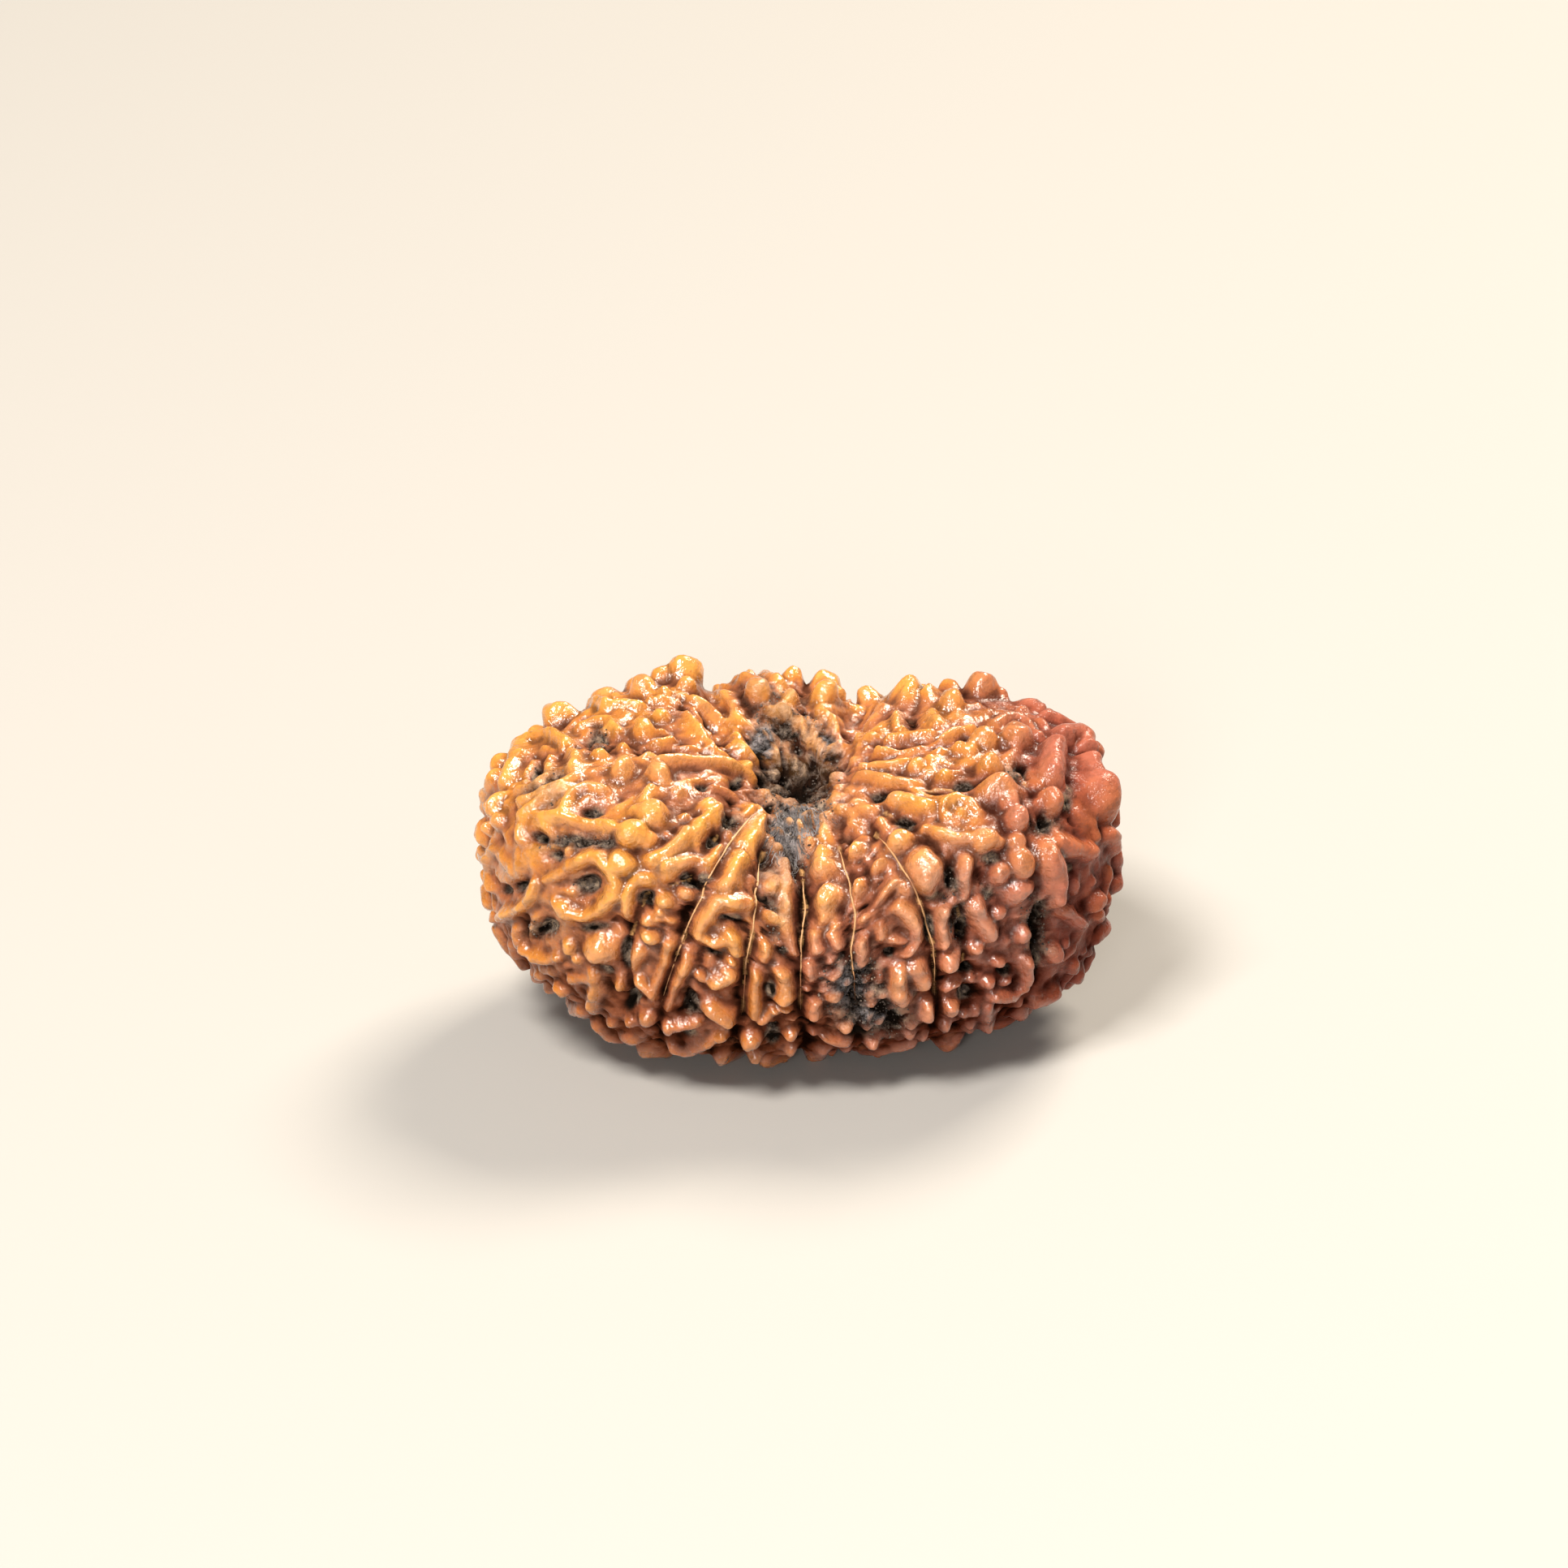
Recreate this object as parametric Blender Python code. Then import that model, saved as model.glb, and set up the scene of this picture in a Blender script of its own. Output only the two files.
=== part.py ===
"""Fifteen mukhi rudraksha bead: one dried seed stone, resting on its lower face.

The bead is an oval stone with a pit at the top and at the bottom, where its fifteen sutures meet,
and a thread channel from pit to pit. Knobs and winding ridges cover it. They are raised from the
smooth form by a formula: those that show from the viewpoint are placed along its lines of sight,
and the hidden sides carry more of the same kind, drawn with a fixed seed.

Lengths in the constants are millimetres, and the finished mesh is in metres with +Z up. The origin
is on the resting plane, under the middle of the upper pit.
"""
import math
import random

import bmesh
import bpy
import numpy as np
from mathutils import Vector
from mathutils.bvhtree import BVHTree
from mathutils.geometry import barycentric_transform
from mathutils.kdtree import KDTree

MM = 0.001

# Smooth form
HALF_LENGTH = 13.5
HALF_DEPTH = 8.4
WAIST_HEIGHT = 7.2
TOP_HEIGHT = 13.45
UNDERSIDE_HEIGHT = 0.47
PLAN_SQUARENESS = 2.25
UPPER_SQUARENESS = 3.9
LOWER_SQUARENESS = 3.3

# Pits, front valley and back notches. A zone gives where it starts and where it is complete
PIT_HALF_SIZE = (2.3, 1.9)
PIT_STEEPNESS = 2.4
PIT_DEPTH = 2.4
LOWER_PIT_DEPTH = 1.6
TOP_ZONE = (1.5, 12.8)
LOWER_ZONE = (3.0, 1.0)
SADDLE_HALF_WIDTH = 5.0
SADDLE_DEPTH = 0.5
VALLEY_OFFSET = -0.3
VALLEY_HALF_WIDTH = 2.9
VALLEY_DEPTH = 1.6
VALLEY_ZONE = (0.8, -1.2)
FRONT_FALL = 1.3
FRONT_FALL_HALF_WIDTH = 6.5
FRONT_FALL_ZONE = (0.0, -7.5)
NOTCH_OFFSETS = (-3.1, 2.9)
NOTCH_HALF_WIDTH = 0.8
NOTCH_DEPTH = 0.9
NOTCH_ZONE = (0.5, 2.5)
# Swells of the back edge: place along the bead, half width and height
BACK_SWELLS = ((-3.6, 4.2, 0.9), (4.9, 2.0, -0.4))
BACK_ZONE = (0.0, 5.5)
LEFT_TUCK = 1.0
RIGHT_TUCK = 0.2
END_TUCK_ZONE = (6.5, 12.0)
END_TUCK_HEIGHT = 2.5
END_TUCK_HALF_HEIGHT = 3.2
CHANNEL_PLACE = (0.0, -0.4)
CHANNEL_DIAMETER = 1.2
CHANNEL_SIDES = 12
REST_KNOBS = ((-4.4, 2.2), (4.4, 2.2), (0.2, -3.8))
REST_KNOB_HALF_WIDTH = 0.9

# Relief
SUTURE_DEPTH = 0.32
SUTURE_HALF_WIDTH = 0.4
LOBE_DEPTH = 0.22
LOBE_HALF_WIDTH = 1.1
# Height and foot radius over the half width, and steepness of the sides
RIDGE_SHAPE = (1.8, 1.02, 2.8)
KNOB_SHAPE = (1.5, 1.02, 5.0)
BROAD_KNOB_SHAPE = (1.25, 1.06, 2.8)
SEEDED_SHAPE = (1.35, 1.05, 3.4)
# Knobs of a larger half width than this, in photograph pixels, have the broad shape
BROAD_KNOB = 17
RIDGE_REACH = 2.0
RIDGE_ROOT = 0.08
RIDGE_FILLET = 0.22
RIDGE_WIDENING = 0.05
KNOB_WIDENING = 0.25
LEAST_HALF_WIDTH = 0.22
PICKING_HEIGHT = 0.45
CREST_SPACING = 0.3
SUTURE_SPACING = 0.15
SUTURE_GAP = 0.1
LOWEST_SLOPE = -1.35
# Seeded ridges: length of a step, bend at each, and spread of their directions on lobes and ends
STEP_LENGTH = 0.55
STEP_BEND = 0.35
LOBE_SPREAD = 0.5
END_SPREAD = 1.6
LOBE_REACH = 7.0
PIT_CLEARING = 1.1
LEAST_RUN_SHARE = 0.34
HOLLOW_CLEARING = 0.5

# Viewpoint of the photograph, whose pixels place the knobs, ridges and sutures that show
PIXEL = 0.035
VIEW_DISTANCE = 330.0
VIEW_ELEVATION = math.radians(28.0)
VIEW_AZIMUTH = math.radians(-5.0)
VIEW_TARGET = (0.0, 0.0, 6.6)
TARGET_PIXEL = (985, 1081)
# A pixel that misses the bead is pulled to the middle by this share, for so many steps
PULL = 0.004
PULL_STEPS = 80

# Sutures as seen, from the upper pit outwards, in photograph pixels
SUTURES = (
    ((940, 990), (897, 1045), (866, 1107), (838, 1168), (815, 1235), (805, 1290)),
    ((950, 1040), (940, 1100), (932, 1150), (920, 1190), (916, 1250), (905, 1290)),
    ((990, 1060), (995, 1110), (990, 1160), (988, 1240), (990, 1290)),
    ((1025, 1030), (1043, 1090), (1052, 1130), (1050, 1175), (1060, 1260), (1060, 1300)),
    ((1070, 1015), (1110, 1065), (1137, 1115), (1155, 1170), (1158, 1240), (1160, 1270)),
    ((1085, 990), (1150, 1035), (1178, 1085), (1192, 1150), (1195, 1236), (1200, 1262)),
    ((1085, 968), (1188, 958), (1265, 950), (1297, 1012), (1285, 1135), (1285, 1190)),
    ((1075, 930), (1160, 910), (1225, 893), (1285, 905)),
    ((1070, 915), (1115, 880), (1150, 838)),
    ((1045, 900), (1062, 870), (1077, 850)),
    ((1000, 900), (998, 870), (995, 840)),
    ((935, 900), (918, 870), (905, 842)),
    ((915, 925), (880, 880), (835, 850), (790, 850)),
    ((915, 935), (800, 912), (735, 897), (653, 942)),
    ((920, 985), (885, 1028), (850, 1080), (790, 1110), (768, 1175), (775, 1240)),
)

# Ridges and knobs as seen: half width, then the points along the crest, in photograph pixels
LEFT_END = (
    (9, (636, 925), (645, 908), (672, 897), (695, 905), (708, 925), (705, 950), (688, 965), (640, 984)),
    (6, (677, 922), (674, 945), (662, 962), (632, 968)), (4, (652, 928), (640, 952)),
    (10, (640, 912), (625, 942), (612, 972), (603, 998)), (15, (672, 876)), (14, (688, 874)),
    (10, (725, 853), (745, 865)), (8, (760, 862), (785, 862)),
    (7, (715, 885), (730, 878), (750, 880), (762, 895)), (5, (717, 915), (717, 943)), (8, (736, 920)),
    (5, (730, 942), (745, 938)), (14, (768, 940)), (7, (766, 908)),
    (8, (690, 998), (694, 982), (706, 966), (725, 960), (745, 966)),
    (8, (637, 1000), (652, 990), (675, 975), (700, 964)),
    (8, (665, 1000), (690, 1003), (720, 1008), (745, 1010), (762, 1016)), (14, (778, 1022)),
    (10, (795, 1030)), (6, (633, 1032), (634, 1010), (650, 998), (668, 1003)), (9, (608, 1008)),
    (8, (592, 1020)), (7, (600, 1045), (592, 1062), (592, 1080), (598, 1100)), (4, (620, 1066)),
    (4, (616, 1083)), (9, (600, 1132)), (9, (612, 1130), (635, 1122), (650, 1108), (655, 1090)),
    (7, (668, 1085), (690, 1078), (698, 1064)),
    (9, (700, 1066), (717, 1058), (738, 1056), (752, 1068), (757, 1088), (752, 1108), (738, 1122),
     (718, 1131), (698, 1128), (682, 1117)),
    (12, (690, 1122)), (7, (698, 1048)), (8, (717, 1060)), (9, (742, 1056)), (13, (766, 1063)),
    (8, (795, 1080), (778, 1092), (769, 1107), (769, 1123), (778, 1135), (795, 1137)), (9, (817, 1108)),
    (5, (812, 1125)), (5, (808, 1133)), (5, (824, 1137)), (9, (642, 1176), (660, 1183), (680, 1180)),
    (13, (697, 1168)), (9, (708, 1185)), (21, (738, 1174)), (7, (630, 1150), (634, 1172)),
    (6, (692, 1195)), (13, (688, 1223)), (8, (700, 1212), (722, 1210)),
    (9, (725, 1205), (727, 1230), (728, 1252)), (10, (662, 1207)), (8, (750, 1268)),
    (12, (799, 1158)), (9, (785, 1176), (773, 1198), (761, 1217)), (10, (787, 1213), (803, 1228)),
    (12, (793, 1260)), (9, (774, 1267)), (8, (793, 1290)), (12, (820, 1272)),
)
LEFT_LOBE = (
    (14, (808, 823)), (11, (791, 840)), (16, (846, 824)), (9, (850, 837)),
    (9, (876, 822), (885, 845), (900, 862), (915, 885)), (9, (818, 848)), (7, (800, 853)),
    (9, (816, 875)), (11, (795, 894)), (5, (803, 898), (820, 893)), (6, (812, 905), (828, 902)),
    (6, (862, 852), (882, 868), (900, 888), (918, 908)),
    (6, (848, 872), (868, 900), (885, 916), (905, 925)),
    (6, (905, 900), (925, 922), (937, 935)), (9, (812, 936), (838, 931), (872, 934), (905, 935), (925, 938)),
    (12, (813, 948)), (8, (803, 966), (795, 980)), (7, (837, 968)),
    (4, (810, 925), (801, 916), (792, 925), (801, 934), (810, 925)), (9, (785, 995), (800, 990), (815, 996)),
    (13, (800, 1000)), (10, (800, 1057), (822, 1047), (838, 1034), (846, 1020)),
    (9, (820, 1066), (850, 1058), (870, 1058), (886, 1048), (890, 1034)), (5, (862, 1022), (862, 1040)),
    (8, (872, 1006), (860, 1018)), (9, (866, 1010), (885, 998), (897, 1012)), (12, (880, 992)),
    (5, (850, 1015)), (5, (822, 1022)), (6, (848, 1000)), (10, (937, 992), (933, 1015), (925, 1035)),
    (9, (918, 1047), (908, 1069), (893, 1087)), (10, (898, 1110), (928, 1108)),
    (8, (885, 1108), (872, 1122), (862, 1140), (861, 1157), (880, 1166), (900, 1156)),
    (10, (903, 1156), (908, 1175)), (8, (845, 1100)), (9, (835, 1270), (862, 1265)),
    (8, (830, 1300), (845, 1303), (862, 1299), (880, 1289), (892, 1283)), (14, (880, 1246), (898, 1258)),
    (9, (860, 1205)), (11, (880, 1212), (900, 1205)), (7, (902, 1190)), (12, (890, 1308)),
    (8, (823, 1170), (818, 1187), (811, 1207), (804, 1230)),
    (9, (839, 1183), (832, 1202), (825, 1222), (817, 1245)),
)
FRONT_LOBES = (
    (7, (965, 1076), (957, 1090)), (9, (955, 1128)), (7, (972, 1137)),
    (9, (970, 1060), (976, 1085), (976, 1110), (973, 1132), (978, 1158), (982, 1175)),
    (4, (937, 1125), (933, 1146)), (8, (945, 1168), (940, 1186)), (9, (933, 1205), (930, 1230), (928, 1255)),
    (16, (925, 1285)), (11, (930, 1308)), (8, (955, 1250), (937, 1262)),
    (12, (968, 1203), (972, 1218), (970, 1232)), (8, (970, 1246)), (11, (977, 1280)), (5, (980, 1262)),
    (9, (975, 1303)), (9, (997, 1192), (1001, 1207)), (7, (993, 1222)), (10, (1007, 1238), (1003, 1256)),
    (9, (1005, 1150), (1009, 1170)), (10, (1012, 1045)), (13, (1013, 1066)), (15, (1020, 1103)),
    (8, (1018, 1125)), (6, (1033, 1140)), (7, (1026, 1150), (1037, 1167)), (10, (1030, 1205)),
    (10, (1048, 1212)), (11, (1031, 1230)), (7, (1048, 1192)), (9, (1059, 1165), (1064, 1190)),
    (7, (1068, 1211)), (5, (1085, 1203), (1086, 1214)), (7, (1073, 1228), (1073, 1241)), (7, (1088, 1228)),
    (11, (1046, 1268)), (6, (1073, 1256), (1073, 1272)), (6, (1086, 1265)), (8, (1018, 1285), (1045, 1291)),
    (7, (1045, 1304)), (11, (1078, 1293)), (6, (1003, 1283)), (14, (1108, 1198), (1112, 1232)),
    (12, (1130, 1192), (1143, 1212)), (12, (1145, 1243), (1144, 1254)),
    (9, (1108, 1118), (1122, 1128), (1132, 1145), (1133, 1162), (1123, 1178)),
    (6, (1104, 1160), (1118, 1166)),
    (8, (1084, 1142), (1086, 1158)), (7, (1128, 1270)), (8, (1125, 1283)), (10, (1146, 1286)),
    (5, (1115, 1255)), (9, (1052, 1040)), (7, (1080, 1063)), (9, (1055, 1090)),
    (8, (1097, 1089), (1083, 1105)),
    (7, (1063, 1130)), (13, (1107, 1031)), (23, (1141, 1069)), (7, (1035, 988), (1052, 993), (1070, 992)),
    (6, (1084, 1003), (1086, 1016)), (5, (1050, 980)),
)
BACK_LOBE = (
    (14, (936, 848)), (13, (980, 813)), (11, (976, 830)), (11, (995, 821)), (13, (1017, 850)),
    (12, (1009, 823)), (12, (1026, 829)), (8, (1044, 831)), (10, (1066, 846)),
    (4, (1012, 867), (1028, 878), (1036, 898), (1037, 915)), (6, (1052, 865), (1072, 860)),
    (7, (955, 872)), (9, (965, 872)), (9, (985, 890)), (10, (995, 908)), (8, (958, 925), (962, 945)),
    (9, (1008, 922), (1014, 940)), (13, (986, 957)),
)
RIGHT_LOBE = (
    (22, (1130, 852)), (6, (1062, 905), (1090, 901), (1120, 897), (1150, 893)),
    (6, (1060, 917), (1085, 918), (1110, 916), (1135, 912), (1160, 915)),
    (6, (1060, 940), (1090, 936), (1118, 930)), (8, (1128, 935)),
    (7, (1047, 954), (1070, 952), (1095, 953), (1125, 958)), (5, (1045, 940), (1050, 920), (1060, 897)),
    (10, (1102, 977), (1118, 978), (1142, 983)), (5, (1100, 865), (1110, 888)), (17, (1215, 844)),
    (9, (1238, 850)), (6, (1193, 863), (1206, 858)), (14, (1173, 860)),
    (9, (1168, 905), (1182, 893), (1198, 892), (1203, 905), (1196, 918), (1182, 915)), (13, (1214, 906)),
    (17, (1254, 906)), (7, (1242, 927), (1258, 914)), (7, (1225, 884), (1245, 876), (1265, 880), (1275, 895)),
    (8, (1262, 869)), (7, (1283, 899)), (12, (1222, 940)), (19, (1232, 963)), (12, (1245, 982)),
    (6, (1213, 968)), (7, (1166, 982), (1180, 974), (1196, 979), (1208, 992)), (4, (1163, 985), (1170, 1000)),
    (8, (1164, 946)), (5, (1170, 942), (1186, 939)), (14, (1256, 1005)),
    (8, (1137, 1013), (1157, 1021), (1178, 1028), (1197, 1030)), (13, (1217, 1033)), (9, (1233, 1039)),
    (11, (1190, 1062), (1190, 1085), (1188, 1108)), (10, (1165, 1122), (1161, 1145), (1166, 1165)),
    (13, (1202, 1118), (1215, 1138), (1224, 1155)), (10, (1208, 1175), (1188, 1180)), (14, (1171, 1188)),
)
RIGHT_END = (
    (15, (1300, 918), (1300, 950)), (14, (1312, 906), (1332, 905), (1345, 925), (1346, 945)),
    (14, (1298, 985)), (12, (1257, 1037)), (17, (1262, 1062)), (19, (1261, 1096)), (12, (1239, 1077)),
    (19, (1293, 1055), (1300, 1080), (1300, 1103)), (13, (1303, 1038), (1325, 1044), (1348, 1050)),
    (11, (1371, 1027), (1381, 1046)), (25, (1361, 976)), (14, (1356, 1113)), (7, (1353, 1086)),
    (10, (1314, 1125), (1338, 1143)), (13, (1266, 1156)), (11, (1235, 1127)), (5, (1248, 1165)),
    (13, (1305, 1177)), (11, (1330, 1195)), (8, (1322, 1165)), (9, (1235, 1188)),
    (9, (1267, 1187), (1272, 1213)),
    (8, (1224, 1213)), (7, (1245, 1215)), (9, (1230, 1232), (1255, 1232), (1270, 1222)),
    (6, (1170, 1226), (1181, 1219), (1197, 1215)), (12, (1175, 1246)), (12, (1200, 1254)),
    (9, (1221, 1250), (1220, 1275)), (10, (1164, 1274)), (11, (1272, 1240), (1290, 1234), (1302, 1227)),
    (11, (1266, 1260)),
)

PIT_LUMPS = (
    (7, (960, 912)), (6, (947, 907)), (7, (930, 887)), (5, (974, 920)), (6, (997, 912)), (9, (1010, 926)),
    (7, (1022, 923)), (7, (952, 934)), (6, (935, 951)), (7, (958, 951)), (6, (974, 940)), (7, (991, 943)),
    (6, (1016, 945)), (6, (1030, 951)), (5, (1008, 962)), (6, (947, 968)), (6, (980, 990)), (5, (991, 984)),
    (6, (974, 1007)), (6, (963, 1018)), (7, (985, 1012)), (7, (997, 1001)), (6, (980, 1026)),
    (6, (963, 1040)), (6, (997, 1029)), (5, (952, 1026)),
)

# Hollows between the ridges as seen: place, half width and half height, in photograph pixels
HOLLOWS = (
    (653, 942, 10, 15), (735, 897, 9, 8), (728, 989, 14, 9), (655, 1027, 12, 9), (700, 1032, 26, 9),
    (742, 1034, 20, 8), (680, 1052, 16, 9), (610, 1100, 7, 7), (630, 1098, 11, 8), (665, 1150, 15, 11),
    (727, 1147, 18, 6), (768, 1180, 7, 18), (745, 1200, 12, 6), (715, 1092, 18, 14), (793, 1110, 13, 11),
    (845, 1075, 9, 7), (872, 1077, 9, 7), (852, 1088, 13, 8), (885, 1028, 8, 7), (908, 1000, 11, 11),
    (905, 1131, 16, 5), (885, 1177, 15, 7), (855, 1245, 14, 13), (848, 1286, 11, 6), (893, 1275, 7, 6),
    (952, 1224, 7, 10), (953, 1286, 9, 14), (968, 1172, 6, 7), (1050, 1240, 7, 14), (1100, 1180, 7, 6),
    (1070, 1203, 9, 4), (1105, 1265, 14, 16), (1127, 1228, 6, 6), (1110, 1003, 12, 9), (1080, 969, 15, 7),
    (870, 957, 9, 4), (917, 952, 8, 6), (1187, 905, 6, 5), (1255, 940, 13, 11), (1188, 955, 12, 7),
    (1325, 978, 8, 19), (1297, 1012, 16, 11), (1225, 1056, 11, 9), (1172, 1087, 8, 13), (1222, 1102, 9, 10),
    (1192, 1152, 8, 13), (1285, 1135, 12, 20), (1325, 1073, 7, 7), (1150, 1150, 6, 15), (1287, 1195, 8, 18),
    (1195, 1203, 12, 5), (1195, 1236, 12, 6), (1247, 1203, 8, 7), (1150, 1100, 11, 12), (775, 1240, 9, 11),
)
HOLLOW_DEPTH = 0.6

STONE_COLOUR = (0.42, 0.17, 0.05, 1.0)
STONE_ROUGHNESS = 0.32

GRID_SUBDIVISIONS = 7
TRIANGLE_LIMIT = 11600
FLAT_TOLERANCE = 0.06
SEED = 15
SEEN_FACING = 0.08
SEEN_FILL_HALF_WIDTH = 0.4
# Rounds of seeded ridges: tries, half widths, longest run in steps and gap to the others
HIDDEN_ROUNDS = (
    (1800, (0.30, 0.46), 5, 0.15),
    (1500, (0.42, 0.66), 0, 0.10),
    (2500, (0.22, 0.34), 3, 0.12),
)


def smooth_step(value, start, end):
    t = np.clip((value - start) / (end - start), 0.0, 1.0)
    return t * t * (3 - 2 * t)


def bell(value, half_width):
    return np.exp(-(value / half_width) ** 2)


def form_norm(offset):
    """Superellipsoid norm of offsets from the bead's middle: 1 on the smooth form."""
    up = offset[:, 2] >= 0
    height = np.where(up, TOP_HEIGHT - WAIST_HEIGHT, WAIST_HEIGHT - UNDERSIDE_HEIGHT)
    power = np.where(up, UPPER_SQUARENESS, LOWER_SQUARENESS)
    plan = (np.abs(offset[:, 0] / HALF_LENGTH) ** PLAN_SQUARENESS
            + np.abs(offset[:, 1] / HALF_DEPTH) ** PLAN_SQUARENESS) ** (1 / PLAN_SQUARENESS)
    return (plan ** power + np.abs(offset[:, 2] / height) ** power) ** (1 / power)


def on_form(offset):
    """Points of the smooth form in the directions of the given offsets from its middle."""
    return offset / form_norm(offset)[:, None] + [0.0, 0.0, WAIST_HEIGHT]


def form_normals(points):
    """Outward unit normals of the smooth form, from the slope of its norm."""
    offset = points - [0.0, 0.0, WAIST_HEIGHT]
    step = 1e-3
    slope = [form_norm(offset + step * axis) - form_norm(offset - step * axis) for axis in np.eye(3)]
    slope = np.stack(slope, axis=1)
    return slope / np.linalg.norm(slope, axis=1)[:, None]


def outward_normals(surface, triangles):
    """Outward unit normal at each point of a triangle mesh."""
    first, second, third = (surface[triangles[:, corner]] for corner in range(3))
    slopes = np.cross(second - first, third - first)
    total = np.zeros_like(surface)
    for corners in triangles.T:
        for axis in range(3):
            total[:, axis] += np.bincount(corners, slopes[:, axis], len(surface))
    return total / np.linalg.norm(total, axis=1)[:, None]


def sunk_form(points):
    """Points of the smooth form once its pits, valley and notches are sunk and its ends tucked in."""
    x, y, z = points.T
    pit = np.exp(-np.hypot(x / PIT_HALF_SIZE[0], y / PIT_HALF_SIZE[1]) ** PIT_STEEPNESS)
    valley = VALLEY_DEPTH * bell(x - VALLEY_OFFSET, VALLEY_HALF_WIDTH) * smooth_step(y, *VALLEY_ZONE)
    notches = sum(bell(x - offset, NOTCH_HALF_WIDTH) for offset in NOTCH_OFFSETS)
    drop = np.cbrt((PIT_DEPTH * pit) ** 3 + valley ** 3)
    drop += SADDLE_DEPTH * bell(x, SADDLE_HALF_WIDTH) + NOTCH_DEPTH * notches * smooth_step(y, *NOTCH_ZONE)
    drop += FRONT_FALL * bell(x, FRONT_FALL_HALF_WIDTH) * smooth_step(y, *FRONT_FALL_ZONE)
    swell = sum(height * bell(x - place, half_width) for place, half_width, height in BACK_SWELLS)
    drop -= swell * smooth_step(y, *BACK_ZONE)
    tuck = LEFT_TUCK * smooth_step(-x, *END_TUCK_ZONE) + RIGHT_TUCK * smooth_step(x, *END_TUCK_ZONE)
    tuck *= bell(z - END_TUCK_HEIGHT, END_TUCK_HALF_HEIGHT)
    moved = points - form_normals(points) * tuck[:, None]
    moved[:, 2] -= drop * smooth_step(z, *TOP_ZONE)
    moved[:, 2] += LOWER_PIT_DEPTH * pit * smooth_step(z, *LOWER_ZONE)
    return moved


def viewpoint():
    """Eye of the photograph, and its unit vectors to the right, up and into the picture."""
    flat = math.cos(VIEW_ELEVATION)
    back = Vector((math.sin(VIEW_AZIMUTH) * flat, -math.cos(VIEW_AZIMUTH) * flat, math.sin(VIEW_ELEVATION)))
    right = Vector((math.cos(VIEW_AZIMUTH), math.sin(VIEW_AZIMUTH), 0.0))
    return Vector(VIEW_TARGET) + back * VIEW_DISTANCE, right, back.cross(right), -back


class Picker:
    """Finds the point of the smooth form that lies behind a pixel of the photograph."""

    def __init__(self, form, sunk, triangles):
        self.form = [Vector(point) for point in form]
        self.sunk = [Vector(point) for point in sunk]
        self.triangles = triangles
        self.tree = BVHTree.FromPolygons(self.sunk, triangles)
        self.eye, self.right, self.up, self.ahead = viewpoint()

    def point(self, pixel):
        """Point behind the pixel, or behind the nearest one towards the middle that meets the bead."""
        for step in range(PULL_STEPS):
            pull = (1 - PULL * step) * PIXEL
            across = (pixel[0] - TARGET_PIXEL[0]) * pull
            down = (pixel[1] - TARGET_PIXEL[1]) * pull
            sight = self.ahead * VIEW_DISTANCE + self.right * across - self.up * down
            place, _, index, _ = self.tree.ray_cast(self.eye, sight.normalized())
            if place is not None:
                break
        corners = self.triangles[index]
        seen = [self.sunk[corner] for corner in corners]
        smooth = [self.form[corner] for corner in corners]
        return np.array(barycentric_transform(place, *seen, *smooth))

    def line(self, pixels):
        return np.array([self.point(pixel) for pixel in pixels])


def facing(points):
    """How far each point of the smooth form faces the eye: 1 straight at it, 0 edge on."""
    to_eye = np.array(viewpoint()[0]) - points
    return (form_normals(points) * to_eye).sum(axis=1) / np.linalg.norm(to_eye, axis=1)


def meridian(start, steps=24):
    """Line on the smooth form from a point down to the lower pit, at the point's own bearing."""
    half_height = WAIST_HEIGHT - UNDERSIDE_HEIGHT
    x, y, z = start[0] / HALF_LENGTH, start[1] / HALF_DEPTH, (start[2] - WAIST_HEIGHT) / half_height
    bearing = math.atan2(y, x)
    slope = np.linspace(math.atan2(z, math.hypot(x, y)), LOWEST_SLOPE, steps)[1:]
    offset = np.stack([HALF_LENGTH * np.cos(slope) * math.cos(bearing),
                       HALF_DEPTH * np.cos(slope) * math.sin(bearing), half_height * np.sin(slope)], axis=1)
    return on_form(offset)


def suture_lines(picker):
    """The fifteen sutures, followed to the lower pit on the hidden side."""
    lines = []
    for pixels in SUTURES:
        seen = picker.line(pixels)
        lines.append(fine_line(np.vstack([seen, meridian(seen[-1])]), SUTURE_SPACING))
    return lines


def fine_line(points, spacing):
    """The same line with points at most a spacing apart."""
    pieces = [points[:1]]
    for start, end in zip(points[:-1], points[1:]):
        count = max(1, math.ceil(np.linalg.norm(end - start) / spacing))
        pieces.append(start + (end - start) * np.linspace(0, 1, count + 1)[1:, None])
    return np.vstack(pieces)


def underside_point(x, y):
    plan = (abs(x / HALF_LENGTH) ** PLAN_SQUARENESS + abs(y / HALF_DEPTH) ** PLAN_SQUARENESS)
    drop = (1 - plan ** (LOWER_SQUARENESS / PLAN_SQUARENESS)) ** (1 / LOWER_SQUARENESS)
    return np.array([[x, y, WAIST_HEIGHT - (WAIST_HEIGHT - UNDERSIDE_HEIGHT) * drop]])


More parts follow.
